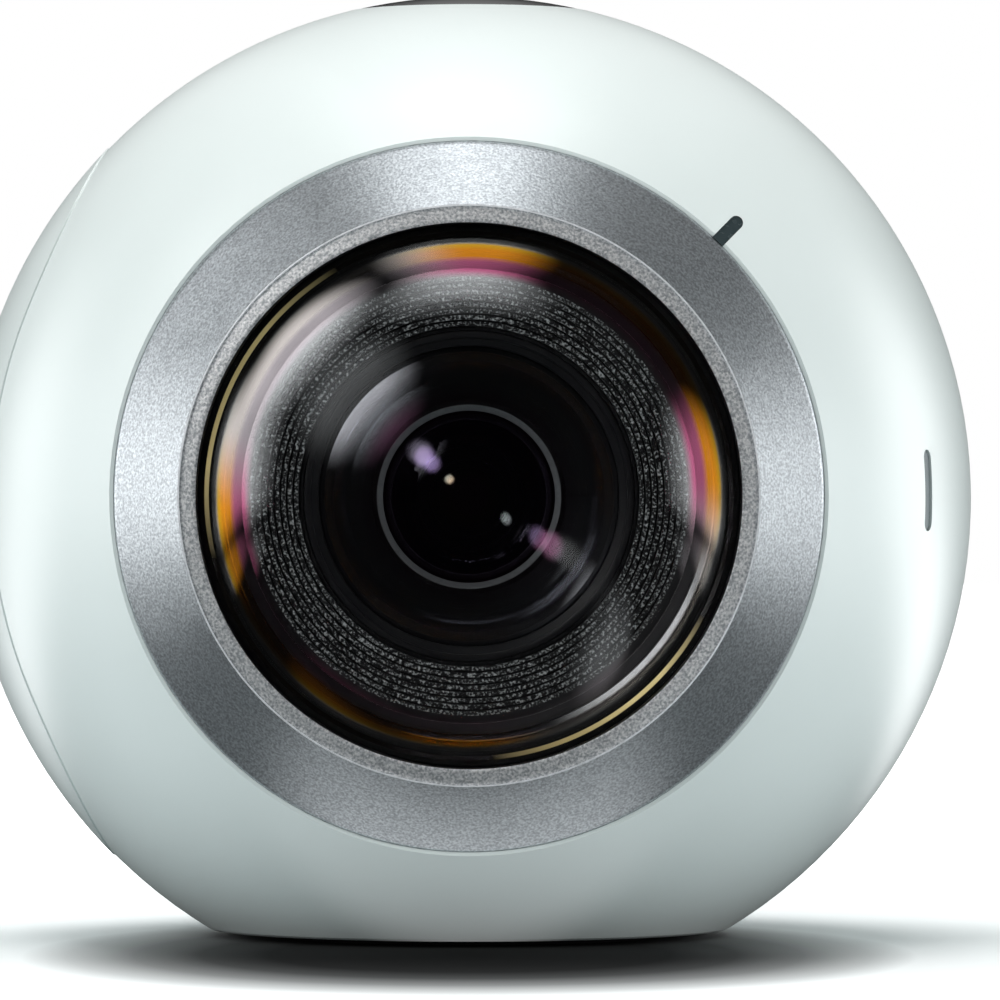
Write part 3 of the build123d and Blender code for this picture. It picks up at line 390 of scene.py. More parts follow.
def coated(name, bands, rough=0.02, painted_highlight=0.0):
    """Glass with bands in its coating, each a radius in millimetres, a colour and a strength."""
    material, shader = new_finish(name, Metallic=1.0, Roughness=rough)
    place_on_lens = from_axis(material)
    radius = add(material, "ShaderNodeVectorMath", operation="LENGTH")
    reach = add(material, "ShaderNodeMath", operation="DIVIDE")
    reach.inputs[1].default_value = COATING_REACH * MM
    join(material, place_on_lens, radius.inputs[0])
    join(material, radius.outputs["Value"], reach.inputs[0])
    colours = [(mm / COATING_REACH, colour) for mm, colour, part in bands]
    strengths = [(mm / COATING_REACH, (part, part, part)) for mm, colour, part in bands]
    # The painted highlight: the coating's colour is mixed towards pale grey at both ends of the diagonal.
    highlight_paler = add(material, "ShaderNodeMix", data_type="RGBA")
    highlight_paler.inputs["B"].default_value = (*PALE, 1)
    join(material, painted_highlight_ends(material, place_on_lens, painted_highlight), highlight_paler.inputs["Factor"])
    join(material, ramp(material, reach.outputs[0], colours), highlight_paler.inputs["A"])
    join(material, highlight_paler.outputs["Result"], shader.inputs["Base Color"])
    slant = add(material, "ShaderNodeLayerWeight", Blend=0.5)
    glancing = ease(material, slant.outputs["Facing"], start=SLANT_FROM, high=SLANT_STRENGTH)
    strength = ramp(material, reach.outputs[0], strengths)
    join(material, plus(material, glancing, strength, clamp=True), shader.inputs["Alpha"])
    return material


# %% [markdown]
# The dome's coating is weak in the middle and strong near the edge. The lenses behind it have purple and pink
# coatings, and they give the small coloured spots near the middle of the picture.

# %% Three coatings
dome_coating = coated("dome_coating", [
    (0.0, (0.8, 0.7, 1.0), 0.02), (4.6, (0.8, 0.7, 1.0), 0.015), (5.5, PALE, 0.006), (8.0, PALE, 0.012),
    (10.4, PALE, 0.03), (11.0, PALE, 0.05), (12.3, PALE, 0.095), (12.7, PINK, 0.12), (13.2, PINK, 0.13),
    (13.5, ORANGE, 0.21), (13.9, ORANGE, 0.23), (14.2, AMBER, 0.22), (14.35, PALE, 0.02), (15.25, PALE, 0.02),
], painted_highlight=0.85)
lens_coating = coated("lens_coating", [
    (0.0, (0.75, 0.6, 0.9), 0.05), (3.0, (0.62, 0.45, 0.95), 0.05), (4.4, (0.7, 0.5, 0.9), 0.05),
    (4.9, (0.95, 0.35, 0.7), 0.055), (5.8, (0.95, 0.45, 0.75), 0.055), (6.6, (0.8, 0.85, 0.95), 0.06),
    (7.6, (0.9, 0.92, 1.0), 0.18), (8.1, (0.9, 0.92, 1.0), 0.24), (8.55, (0.9, 0.92, 1.0), 0.45),
])
inner_coating = coated("inner_coating", [
    (0.0, (1.0, 0.45, 0.8), 0.14), (0.9, (1.0, 0.5, 0.8), 0.14), (1.3, (1.0, 0.75, 0.5), 0.12),
    (2.0, (0.6, 0.75, 0.7), 0.10), (5.2, (0.85, 0.6, 0.95), 0.12),
])
print("coatings:", dome_coating.name, lens_coating.name, inner_coating.name)

# %% [markdown]
# ### Black inside the lens
#
# Everything behind the dome is black, but not the same black. The ribbed funnel is moulded with
# a sparkling matt texture, where only the tops of the noise are light, so they show as specks.
# The ring round the second lens is smooth, and the cone deep inside is matt.

# %% Lens blacks
SPECKS_FROM, SPECKS_FULL = 0.5, 0.74
SPECK_DARK, SPECK_LIGHT = (0.006, 0.006, 0.007), (0.40, 0.42, 0.42)
ribbed_black, shader = new_finish("ribbed_black")
specks = grain(ribbed_black, 0.14, detail=1)
tint(ribbed_black, specks, SPECK_DARK, SPECK_LIGHT, shader.inputs["Base Color"], SPECKS_FROM, SPECKS_FULL)
vary(ribbed_black, specks, 0.3, 0.5, shader.inputs["Roughness"])
roughen(ribbed_black, specks, 0.02, shader)
smooth_black = plain_finish(
    "smooth_black", (0.006, 0.006, 0.007), (0.009, 0.009, 0.010), 1.5, (0.30, 0.34), 0.001)
deep_black = plain_finish(
    "deep_black", (0.003, 0.003, 0.004), (0.006, 0.006, 0.007), 0.2, (0.5, 0.6), 0.002)
housing_black = plain_finish(
    "housing_black", (0.004, 0.004, 0.005), (0.008, 0.008, 0.009), 0.3, (0.4, 0.5), 0.004)

# %% [markdown]
# Two thin rings behind the dome are not black. A grey one holds the third lens, and a polished one
# runs inside the dome's foot, where it mirrors the light from across the lens.

# %% Grey and polished rings
ring_grey = plain_finish(
    "ring_grey", (0.10, 0.105, 0.11), (0.13, 0.135, 0.14), 0.3, (0.35, 0.45), 0.001)
gloss_ring = plain_finish(
    "gloss_ring", (0.40, 0.41, 0.42), (0.48, 0.49, 0.50), 0.6, (0.10, 0.14), 0.0, Metallic=1.0)

# %% [markdown]
# The photograph shows the gilt line under the dome in two arcs only, at the upper left and at the lower right,
# where it is a reflection. The ring is black, and the gilt is a painted glint that follows those arcs: a round
# fade about the middle of each arc brings the gilt up from black.

# %% Painted gilt glints
PAINTED_GLINT_RADIUS = 15
painted_glint_ring, shader = new_finish("painted_glint_ring", Metallic=0.25, Roughness=0.14)
here = add(painted_glint_ring, "ShaderNodeTexCoord")


def painted_glint_arc(azimuth, reach):
    """A painted glint: a fade about the middle of an arc, at this azimuth round the lens axis, with its reach in
    millimetres.
    """
    outwards = Vector((cos(radians(azimuth)), 0, sin(radians(azimuth))))
    middle = Vector((0, 0, BALL_MIDDLE.z)) + PAINTED_GLINT_RADIUS * MM * outwards
    return round_fade(painted_glint_ring, here.outputs["Object"], middle, (reach * MM, 1, reach * MM))


painted_glints = plus(painted_glint_ring, painted_glint_arc(157, 9.5), painted_glint_arc(304, 7.5), clamp=True)
# Painted glints: black along the ring, gilt about the middle of each arc.
tint(painted_glint_ring, painted_glints, (0.006, 0.005, 0.004), (1.0, 0.80, 0.36), shader.inputs["Base Color"], 0.0, 0.55)

# %% [markdown]
# ### The other finishes
#
# The pieces that the CAD model already shapes well keep their mesh and only change their material.
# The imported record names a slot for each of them, and each slot gets its own finish here.
# The simple ones come from tables. A row gives the dark and the light colour, the grain in millimetres,
# the two ends of the roughness, the depth of the relief in millimetres, and whatever else that finish needs.

# %% Slots with finishes from above
slot_finish = {
    "shell_white": shell_white,
    "trim_metal": trim_metal,
    "rim_metal": rim_metal,
    "dome_glass": dome_coating,
    "lens_glass": inner_coating,
    "lens_black": deep_black,
    "housing_plastic": housing_black,
}


def fill_slots(rows):
    """Makes a plain finish for each row of a table and gives it to the slot of that name."""
    for slot, (dark, light, size, rough, depth, more) in rows.items():
        slot_finish[slot] = plain_finish(slot, dark, light, size, rough, depth, **more)
    print("slots so far:", len(slot_finish))


# %% [markdown]
# Plastics, rubber and boards are matt. Their grain is the texture of the mould, and rubber is the roughest.

# %% Matt slots
fill_slots({
    "key_grey": ((0.14, 0.17, 0.178), (0.165, 0.20, 0.208), 0.25, (0.42, 0.5), 0.002, {}),
    "frame_plastic": ((0.03, 0.032, 0.034), (0.045, 0.048, 0.05), 0.3, (0.45, 0.6), 0.006, {}),
    "card_plastic": ((0.015, 0.015, 0.016), (0.024, 0.024, 0.025), 0.2, (0.4, 0.5), 0.004, {}),
    "switch_plastic": ((0.02, 0.02, 0.022), (0.035, 0.035, 0.037), 0.4, (0.4, 0.5), 0.003, {}),
    "latch_orange": ((0.62, 0.16, 0.02), (0.7, 0.2, 0.03), 0.3, (0.35, 0.45), 0.004, {}),
    "battery_dark": ((0.025, 0.025, 0.03), (0.04, 0.04, 0.045), 0.8, (0.3, 0.4), 0.004, {}),
    "circuit_board": ((0.01, 0.06, 0.03), (0.02, 0.1, 0.05), 1.2, (0.35, 0.5), 0.01, {}),
    "seal_rubber": ((0.002, 0.002, 0.002), (0.004, 0.004, 0.004), 0.25, (0.6, 0.75), 0.004, {}),
    "foot_rubber": ((0.008, 0.008, 0.008), (0.018, 0.018, 0.018), 0.2, (0.65, 0.8), 0.01, {}),
})

# %% [markdown]
# Gloss comes from a clear coat over a dark body: the top panel, its button, the windows of the status
# lights and the image sensors have one.

# %% Glossy slots
fill_slots({
    "panel_black": (
        (0.004, 0.004, 0.005), (0.006, 0.006, 0.007), 2.0, (0.05, 0.07), 0.0,
        {"Coat_Weight": 0.6, "Coat_Roughness": 0.03}),
    "button_black": (
        (0.006, 0.006, 0.007), (0.010, 0.010, 0.011), 0.3, (0.16, 0.22), 0.001, {"Coat_Weight": 0.3}),
    "window_smoke": (
        (0.032, 0.046, 0.050), (0.040, 0.056, 0.060), 0.5, (0.2, 0.3), 0.001, {"Coat_Weight": 0.4}),
    "sensor_dark": (
        (0.02, 0.03, 0.05), (0.04, 0.03, 0.06), 0.6, (0.1, 0.16), 0.0, {"Coat_Weight": 0.5}),
})

# %% [markdown]
# Bare metals mirror what is round them. The sheet of the port and the tripod insert have a grain stretched
# one way, as rolling and turning leave it.

# %% Metal slots
fill_slots({
    "screw_steel": (
        (0.4, 0.41, 0.42), (0.52, 0.53, 0.54), 0.3, (0.25, 0.4), 0.002, {"Metallic": 1.0}),
    "contact_brass": (
        (0.75, 0.5, 0.14), (0.85, 0.6, 0.2), 0.2, (0.2, 0.3), 0.002, {"Metallic": 1.0}),
    "port_steel": (
        (0.5, 0.5, 0.51), (0.6, 0.6, 0.61), 0.2, (0.25, 0.36), 0.002,
        {"stretch": (0.15, 1, 1), "Metallic": 1.0}),
    "insert_brass": (
        (0.66, 0.46, 0.16), (0.76, 0.55, 0.22), 0.15, (0.22, 0.34), 0.003,
        {"stretch": (1, 1, 5), "Metallic": 1.0}),
})

# %% Finishes onto the CAD pieces
for node in nodes.values():
    for entry in node.material_slots:
        entry.material = slot_finish[entry.material.name.split(".")[0]]
print("finishes:", len(slot_finish), "for", len(nodes), "CAD pieces")

# %% [markdown]
# ## The metal rings
#
# Two rings frame the lens. The outer one is the wide blasted cone that rises from the casing,
# and its outer edge has a small bevel that catches the light. The inner one is the narrow rim
# that holds the dome. Both are half sections spun round the axis.
# The rim's inner wall gets a black second finish, because bare metal there would be mirrored in the dome.


# %% Faces by their radius
def blacken(bm, chosen):
    """Gives the second finish to the faces whose distance from the lens axis, in millimetres, is chosen."""
    for face in bm.faces:
        middle = face.calc_center_median() - BALL_MIDDLE
        if chosen(Vector((middle.x, middle.z)).length / MM):
            face.material_index = 1
    return bm


# %% Cone and rim
def cone_of_metal():
    """The wide ring, from the casing up to the rim, hollow behind."""
    return turn(section([
        (20.33, 20.402), (20.33, 21.902), (20.25, 22.12), (20.1, 22.29), (16.5, 26.5), (16.5, 24.902),
        (19.0, 22.202), (19.0, 20.402),
    ]), WIDE_STEPS)


def rim_of_metal():
    """The narrow ring round the dome, with its inner wall blackened."""
    bm = turn(section([
        (15.4, 24.602), (16.4, 24.602), (16.4, 26.38), (15.66, 26.78),
        (15.56, 26.8), (15.47, 26.77), (15.42, 26.7), (15.4, 26.6),
    ]), WIDE_STEPS)
    return blacken(bm, lambda radius: radius < 15.46)


def bright_edge():
    """The polished line round the rim, where its outer edge was turned after the blasting."""
    return turn(section([
        (16.4, 26.2), (16.49, 26.2), (16.49, 26.5), (16.45, 26.53), (16.4, 26.53)]), WIDE_STEPS)


place_pair("trim_metal", cone_of_metal, trim_metal, "trim_metal", "trim_ring", smooth_under=25)
place_pair(
    "rim_metal", rim_of_metal, rim_metal, "rim_metal", "lens_rim", smooth_under=50, second_finish=deep_black)
place_pair("bright_edge", bright_edge, edge_metal, "rim_metal", "", smooth_under=50)

# %% [markdown]
# ## The glass
#
# A lens surface is part of a ball. Its line in the half section is an arc, and an arc is a vertex swung
# round the centre of that ball, so the spin operator is used twice: once for the arc, and once for the glass.
# The dome is hollow. It is made as a skin first, and the solidify operator then gives it its wall.

# %% Arcs
DOME_ARC_STEPS, LENS_ARC_STEPS = 40, 24


def swing(bm, vert, centre_depth, steps):
    """Swings a vertex of the half section to the lens axis, round a centre on that axis."""
    centre = Vector((0, -centre_depth * MM, BALL_MIDDLE.z))
    arm = vert.co - centre
    towards = -1 if arm.y < 0 else 1
    angle = towards * (pi / 2 - abs(atan2(arm.y, arm.x)))
    bmesh.ops.spin(bm, geom=[vert], cent=centre, axis=(0, 0, 1), angle=angle, steps=steps)


# %% Dome and lenses
def dome():
    """The big outer lens: a foot that stands on the gasket, and a hollow cap."""
    bm = section([(15.3, 24.902), (15.3, 26.062)], closed=False)
    bm.verts.ensure_lookup_table()
    swing(bm, bm.verts[1], centre_depth=13.646, steps=DOME_ARC_STEPS)
    turn(bm)
    bmesh.ops.solidify(bm, geom=bm.faces[:], thickness=1.3 * MM)
    bmesh.ops.recalc_face_normals(bm, faces=bm.faces)
    return bm


def lens(radius, seat, edge, front_radius, back_radius=0.0, back_edge=0.0):
    """A smaller lens with a round front and a flat or hollow back."""
    corners = [(radius, seat), (radius, edge)]
    if back_radius:
        corners.insert(0, (back_edge, seat))
    bm = section(corners, closed=False)
    bm.verts.ensure_lookup_table()
    swing(bm, bm.verts[-1], edge - sqrt(front_radius**2 - radius**2), LENS_ARC_STEPS)
    if back_radius:
        bm.verts.ensure_lookup_table()
        swing(bm, bm.verts[0], seat - sqrt(back_radius**2 - back_edge**2), LENS_ARC_STEPS)
    turn(bm, SMALL_STEPS)
    bmesh.ops.holes_fill(bm, edges=[e for e in bm.edges if e.is_boundary], sides=0)
    bmesh.ops.recalc_face_normals(bm, faces=bm.faces)
    return bm


def second_lens():
    """The lens that shows in the middle of the funnel, with a hollow back."""
    return lens(8.55, seat=20.402, edge=21.702, front_radius=18.0, back_radius=15.0, back_edge=7.8)


def third_lens():
    """The lens under the grey ring, with a flat back."""
    return lens(5.1, seat=16.502, edge=17.302, front_radius=8.0)


place_pair("dome_cap", dome, dome_coating, "dome_glass", "dome_glass")
place_pair("second_lens", second_lens, lens_coating, "lens_glass", "second_element")
place_pair("third_lens", third_lens, inner_coating, "lens_glass", "third_element")

# %% [markdown]
# ## Inside the dome
#
# Round the second lens sits a funnel with eight fine steps. They keep stray light from
# bouncing off the wall into the picture. The steps are part of the half section, so one spin makes them all.
# A groove runs along the foot of each step. The grooves and the smooth walls get the deep black as their second
# finish, and the steps between them keep the sparkling one. In the grooves that deep black is painted shade, which
# draws a dark line between the steps.

# %% Ribbed funnel
FIRST_STEP, LAST_STEP = 9.62, 12.5
FOOT = 22.352
STEP_WIDTH, STEP_RISE = 0.36, 0.2
GROOVE_WIDTH, GROOVE_FLAT, GROOVE_DEPTH = 0.12, 0.1, 0.1
FUNNEL_STEPS = 8


def outside_the_steps(radius):
    """Whether this radius lies in a groove or off the steps altogether."""
    in_a_groove = (radius - FIRST_STEP) % STEP_WIDTH < GROOVE_WIDTH
    return in_a_groove or radius < FIRST_STEP or radius > LAST_STEP


def ribbed_funnel():
    """The black funnel: a stepped slope, and a smooth wall up to the gasket."""
    corners = [(9.5, FOOT), (FIRST_STEP, FOOT)]
    for step in range(FUNNEL_STEPS):
        start, level = FIRST_STEP + STEP_WIDTH * step, FOOT + STEP_RISE * step
        floor_of_groove, top = level - GROOVE_DEPTH, level + STEP_RISE
        corners += [(start, floor_of_groove), (start + GROOVE_FLAT, floor_of_groove)]
        corners += [(start + GROOVE_WIDTH, top), (start + STEP_WIDTH, top)]
    corners += [(12.6, 23.98), (12.9, 24.02), (13.0, 24.1), (13.55, 24.352)]
    corners += [(13.55, 23.552), (11.5, 21.802), (9.5, 21.802)]
    # The deep black in the grooves is painted shade along the foot of each step.
    return blacken(turn(section(corners)), outside_the_steps)


print("funnel:", FUNNEL_STEPS, "steps, from radius", FIRST_STEP, "to", LAST_STEP, "mm")

# %% [markdown]
# The smaller rings are half sections too, and go in together with the funnel. The gasket under each dome has a
# step in it, and a black ring with painted gilt glints lies in that step. The polished ring and that black ring
# are shaded smooth only under very small angles, so that their slopes stay flat and mirror one direction each.


# %% Gasket, rings and funnel in place
def keeper_ring():
    """The smooth stepped ring that keeps the second lens in."""
    corners = [(8.6, 21.802), (9.45, 21.802), (9.45, 22.302), (9.05, 22.302), (9.05, 22.102), (8.6, 22.102)]
    return break_edges(turn(section(corners)), 0.05)


def polished_ring():
    """The thin chamfered ring inside the dome's foot. Its slope shows the light from across the lens."""
    return turn(section([(13.6, 24.602), (13.95, 24.602), (13.95, 24.8), (13.88, 24.8), (13.6, 24.64)]))


def gasket():
    """The rubber gaskets under both domes, each with a step for the black ring with painted glints."""
    bm = turn(section([
        (14.5, 24.602), (15.3, 24.602), (15.3, 24.9), (15.04, 24.9), (15.04, 24.74), (14.5, 24.74)]))
    twin = bmesh.ops.duplicate(bm, geom=bm.verts[:] + bm.edges[:] + bm.faces[:])["geom"]
    half_way_round(bm, [part for part in twin if isinstance(part, bmesh.types.BMVert)])
    return bm


def painted_glint_line():
    """The black ring in the step of the gasket, with a slope that faces inwards; its finish paints gilt glints on
    it.
    """
    return turn(section([(14.78, 24.74), (15.04, 24.74), (15.04, 24.9), (15.01, 24.9), (14.78, 24.77)]))


place("dome_gaskets", gasket(), slot_finish["seal_rubber"], "seal_rubber", ["dome_seals"], smooth_under=30)
place_pair("painted_glint_line", painted_glint_line, painted_glint_ring, "lens_black", "", smooth_under=15)
place_pair(
    "ribbed_funnel", ribbed_funnel, ribbed_black, "lens_black", "baffle",
    smooth_under=30, second_finish=deep_black)
place_pair("keeper_ring", keeper_ring, smooth_black, "lens_black", "retaining_ring", smooth_under=50)
place_pair("polished_ring", polished_ring, gloss_ring, "lens_black", "", smooth_under=15)

# %% [markdown]
# ## Behind the second lens
#
# Deeper in, a grey ring holds the third lens, and a black stepped cone narrows towards the aperture.
# Its two steps carry narrow bright lands, which are hard to see under so much glass.
# A small fourth lens sits in its mouth.


# %% Grey ring, cone and fourth lens
def third_keeper():
    """The grey ring on the ledge of the barrel, over the edge of the third lens."""
    return turn(section([
        (5.14, 17.902), (5.32, 17.902), (5.32, 18.12), (5.26, 18.12), (4.97, 17.86), (4.97, 17.65), (5.14, 17.65),
    ]), SMALL_STEPS)


def stepped_cone():
    """The black cone in the bore of the barrel, in front of the aperture."""
    return turn(section([
        (1.95, 13.95), (4.45, 13.95), (4.45, 16.35), (3.14, 15.35), (2.96, 15.35), (2.96, 14.95), (2.36, 14.65),
        (2.18, 14.65), (2.18, 14.3), (1.95, 14.2),
    ]), TINY_STEPS)


def land(radius, depth):
    """A narrow flat ring on a step of the cone."""
    outer, under = radius + 0.14, depth - 0.1
    return turn(section([(radius, under), (outer, under), (outer, depth), (radius, depth)]), TINY_STEPS)


def fourth_lens():
    """The small lens in the mouth of the cone, with a flat back."""
    return lens(1.9, seat=14.0, edge=14.25, front_radius=4.0)


place_pair("third_keeper", third_keeper, ring_grey, "lens_black", "", smooth_under=30)
place_pair("stepped_cone", stepped_cone, deep_black, "lens_black", "", smooth_under=30)
place_pair("outer_land", lambda: land(2.97, 15.42), edge_metal, "lens_black", "", smooth_under=30)
place_pair("inner_land", lambda: land(2.19, 14.72), edge_metal, "lens_black", "", smooth_under=30)
place_pair("fourth_lens", fourth_lens, inner_coating, "lens_glass", "")

# %% [markdown]
# ## The hinge pin
#
# The pin of the side cover shows when the cover is out. It is a short steel rod with broken ends.
# It is a hair thinner than its bore, so that the cover can turn round it without the two cutting into each other.

# %% Hinge pin
low, high = (Vector(corner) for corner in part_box("cover_pin"))
PLAY = 0.03 * MM
pin_radius = (high.x - low.x) / 2 - PLAY
bm = bmesh.new()
bmesh.ops.create_circle(bm, cap_ends=True, segments=32, radius=pin_radius)
bmesh.ops.translate(bm, verts=bm.verts, vec=((low.x + high.x) / 2, (low.y + high.y) / 2, low.z))
raised = bmesh.ops.extrude_face_region(bm, geom=bm.faces[:])["geom"]
bmesh.ops.translate(bm, verts=[v for v in raised if isinstance(v, bmesh.types.BMVert)], vec=(0, 0, high.z - low.z))
bmesh.ops.recalc_face_normals(bm, faces=bm.faces)
break_edges(bm, 0.08)
place("hinge_pin", bm, slot_finish["screw_steel"], "screw_steel", ["cover_pin"], body="cover_arm")
print("hinge pin:", round(2 * pin_radius / MM, 2), "mm thick")

# %% [markdown]
# ## The studio
#
# The light is plain: a large soft lamp overhead, one on each side, a smaller key lamp from the upper left,
# and a dim grey world that fills the shadows. Each is an area lamp, whose brightness is given for its
# surface, so it can be made larger or smaller without changing how bright it looks.
# The lamps are hidden from reflections. What metal and glass mirror is arranged apart, further down.


# %% Soft lamps
def soft_lamp(name, place_at, side, brightness):
    """A square of light that faces the ball, with its side in metres and its brightness given per area."""
    lamp = bpy.data.lights.new(name, "AREA")
    lamp.shape = "RECTANGLE"
    lamp.size = lamp.size_y = side
    lamp.energy = brightness * pi * side * side
    obj = bpy.data.objects.new(name, lamp)
    obj.location = place_at
    obj.rotation_euler = (BALL_MIDDLE - Vector(place_at)).to_track_quat("-Z", "Y").to_euler()
    obj.visible_glossy = False
    bpy.context.collection.objects.link(obj)
    print(name + ":", round(lamp.energy, 2), "W")


soft_lamp("overhead_lamp", (-0.04, 0.16, 0.60), side=0.40, brightness=6.7)
soft_lamp("left_lamp", (-0.56, -0.33, 0.08), side=0.36, brightness=6.2)
soft_lamp("right_lamp", (0.60, -0.26, 0.05), side=0.32, brightness=10.6)
soft_lamp("key_lamp", (-0.34, -0.40, 0.42), side=0.16, brightness=5.0)

# %% [markdown]
# The background is white because the world is white to the camera, in reflections and through glass,
# and not because there is more light. Light Path tells the kinds of rays apart.

# %% World
FILL = 0.28


def direct_looks(owner):
    """A value of 1 for rays from the camera, in reflections and through glass, and 0 for the rest."""
    rays = add(owner, "ShaderNodeLightPath")
    looks = rays.outputs["Is Camera Ray"]
    for kind in ("Is Glossy Ray", "Is Transmission Ray"):
        looks = plus(owner, looks, rays.outputs[kind], clamp=True)
    return looks


world = bpy.data.worlds.new("studio")
bpy.context.scene.world = world
world.use_nodes = True
background = world.node_tree.nodes["Background"]
background.inputs["Color"].default_value = (1, 1, 1, 1)
join(world, spread(world, direct_looks(world), low=FILL), background.inputs["Strength"])
print("world:", FILL, "as light, 1 as background")

# %% [markdown]
# The floor is a wide sheet of paper. Near the camera it is lit and takes the shadow, and farther out it turns
# into the plain white of the background.
#
# Two things about it are painted. The camera sees a soft dark spot that deepens the shadow round the foot.
# Light that bounces off the sheet finds it darker, and darkest close to the foot, so the underside of the
# ball stays as dark as in the photograph. Light Path picks between the two.

# %% Colours of the paper
SPOT_CENTRE, SPOT_REACH = (0, -22 * MM, 0), (25.5 * MM, 42 * MM, 1)
SPOT_RED = 0.96
SPOT_GREYS = [(0, 0.95), (0.1, 0.6), (0.25, 0.25), (0.4, 0.08), (0.55, 0.03), (1, 0.02)]
DARK_BOUNCE, PALE_BOUNCE = (0.03, 0.035, 0.036), (0.44, 0.50, 0.52)
paper, shader = new_finish("paper", Roughness=0.9, Specular_IOR_Level=0.0)
direct = direct_looks(paper)
here = add(paper, "ShaderNodeTexCoord")
spot = round_fade(paper, here.outputs["Object"], SPOT_CENTRE, SPOT_REACH)
seen = ramp(paper, spot, [(position, (grey * SPOT_RED, grey, grey)) for position, grey in SPOT_GREYS])
far = add(paper, "ShaderNodeVectorMath", operation="LENGTH")
join(paper, here.outputs["Object"], far.inputs[0])
outwards = ease(paper, far.outputs["Value"], start=14 * MM, end=27 * MM)
sheet_colour = add(paper, "ShaderNodeMix", data_type="RGBA")
tint(paper, outwards, DARK_BOUNCE, PALE_BOUNCE, sheet_colour.inputs["A"], 0.0, 1.0)
join(paper, direct, sheet_colour.inputs["Factor"])
join(paper, seen, sheet_colour.inputs["B"])
join(paper, sheet_colour.outputs["Result"], shader.inputs["Base Color"])

# %% [markdown]
# The fade to white is light of the sheet's own, which only direct looks see, so it lights nothing.
# It begins beyond the foot and is complete before the sheet's edge comes into view.


# %% Floor
def stage_sheet(name, bm, finish):
    """An object of the set, which isn't part of the camera."""
    mesh = bpy.data.meshes.new(name)
    bm.to_mesh(mesh)
    bm.free()
    mesh.materials.append(finish)
    obj = bpy.data.objects.new(name, mesh)
    bpy.context.collection.objects.link(obj)
    return obj


fade = ease(paper, far.outputs["Value"], start=45 * MM, end=160 * MM)
glow = add(paper, "ShaderNodeMath", operation="MULTIPLY")
join(paper, fade, glow.inputs[0])
join(paper, direct, glow.inputs[1])
shader.inputs["Emission Color"].default_value = (1, 1, 1, 1)
join(paper, glow.outputs[0], shader.inputs["Emission Strength"])
bm = bmesh.new()
bmesh.ops.create_grid(bm, x_segments=1, y_segments=1, size=4.0)
floor = stage_sheet("floor", bm, paper)
print("floor:", [round(side, 2) for side in floor.dimensions[:2]], "m")

# %% [markdown]
# Metal and glass show what stands round them, so a photographer hangs a tent of dark cloth round a
# shiny thing and lights soft patches on it. The tent here is a big ball of faces that only reflections see.
# Its lower part is pressed flat onto the table along the lines of sight from the middle of the camera.

# %% Tent
TENT = 1.5
ABOVE_TABLE = 0.2 * MM
bm = bmesh.new()
bmesh.ops.create_icosphere(bm, subdivisions=6, radius=TENT)
cloth_level = ABOVE_TABLE - BALL_MIDDLE.z
for vert in bm.verts:
    if vert.co.z < cloth_level:
        vert.co *= cloth_level / vert.co.z
print("tent:", len(bm.faces), "faces")
tent_cloth = bpy.data.materials.new("tent_cloth")
tent_cloth.use_nodes = True
tent_cloth.node_tree.nodes.clear()
output = add(tent_cloth, "ShaderNodeOutputMaterial")
emission = add(tent_cloth, "ShaderNodeEmission")
join(tent_cloth, emission.outputs["Emission"], output.inputs["Surface"])
here = add(tent_cloth, "ShaderNodeTexCoord")
sight = add(tent_cloth, "ShaderNodeVectorMath", operation="NORMALIZE")
join(tent_cloth, here.outputs["Object"], sight.inputs[0])

# %% [markdown]
# The cloth is nearly black in front of each lens, and soft patches glow overhead, on the left and on the right.
# The small ones near the lens axis make bright spots in the glass, and the two low ones light the lower ends
# of the orange bands. Each patch is a round fade about its own direction, stretched to its size.
# An azimuth here turns in the picture from the right, anticlockwise, and a polar angle is counted from the
# lens axis.

# %% Patches of light
FULL_AT = 0.7


def direction(azimuth, polar):
    """The direction from the camera's middle with this azimuth and polar angle, in degrees."""
    a, t = radians(azimuth), radians(polar)
    return Vector((sin(t) * cos(a), -cos(t), sin(t) * sin(a)))


def patch(azimuth, polar, across, along, brightness):
    """A soft patch: its direction, its half widths across and along the lens axis, and its brightness."""
    wide, deep = sin(radians(across)), sin(radians(along))
    reach = (max(wide, deep), deep, wide)
    fade = round_fade(
        tent_cloth, sight.outputs[0], direction(azimuth, polar), reach, turned=(0, radians(-azimuth), 0))
    return ease(tent_cloth, fade, end=FULL_AT, high=brightness)


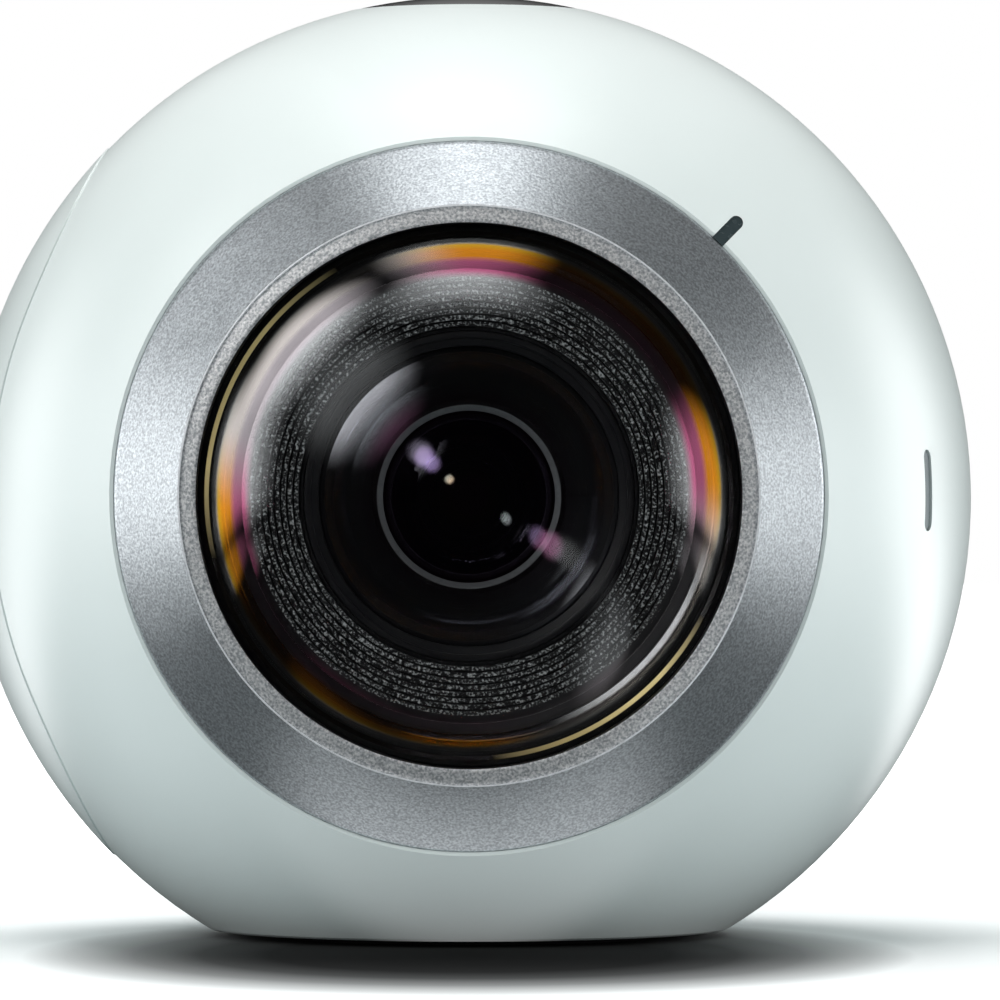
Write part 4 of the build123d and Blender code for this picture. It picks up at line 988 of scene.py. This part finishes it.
patches = {
    "overhead": patch(91, 93, 24, 22, 2.3),
    "overhead, forward": patch(92, 75, 30, 8, 1.9),
    "left": patch(171.5, 87, 30, 14.5, 2.9),
    "left, low": patch(197, 75, 9, 7, 0.85),
    "left, behind": patch(182, 116, 38, 19, 2.4),
    "upper left": patch(138, 83.5, 28, 12, 3.4),
    "upper left, forward": patch(139, 56, 26, 15, 1.8),
    "upper left, near the axis": patch(138, 22, 5, 5, 6.0),
    "right": patch(4, 86, 26, 12.5, 2.3),
    "right, low": patch(343, 75, 9, 7, 0.6),
    "right, behind": patch(-2, 119, 42, 20, 2.8),
    "overhead, behind": patch(90, 138, 50, 24, 0.4),
    "below, forward": patch(270, 54, 44, 8, 0.68),
    "lower right, forward": patch(315, 44.5, 14, 3.5, 0.7),
    "lower right, near the axis": patch(330, 31, 5, 5, 3.2),
}
print("patches:", len(patches))

# %% [markdown]
# The cloth itself isn't quite black either. It is darkest round the lens axis, in front and behind,
# and a little lighter towards the sides. Its glow and the patches are summed into one brightness.

# %% Cloth and its patches together
DARKEST_WITHIN, LIGHTEST_AT = radians(62), radians(88)
parts = add(tent_cloth, "ShaderNodeSeparateXYZ")
join(tent_cloth, sight.outputs[0], parts.inputs[0])
along_axis = add(tent_cloth, "ShaderNodeMath", operation="ABSOLUTE")
join(tent_cloth, parts.outputs["Y"], along_axis.inputs[0])
total = ease(
    tent_cloth, along_axis.outputs[0], start=cos(DARKEST_WITHIN), end=cos(LIGHTEST_AT), low=0.004, high=0.02)
for glow in patches.values():
    total = plus(tent_cloth, total, glow)
join(tent_cloth, total, emission.inputs["Strength"])
tent_cloth.cycles.emission_sampling = "NONE"
tent = stage_sheet("tent", bm, tent_cloth)
tent.location = BALL_MIDDLE
tent.visible_camera = False
tent.visible_diffuse = False
tent.visible_shadow = False
tent.visible_transmission = False

# %% [markdown]
# ## Colour
#
# The view transform is Standard, so a colour is shown as it is written.

# %% Finish
bpy.context.scene.view_settings.view_transform = "Standard"
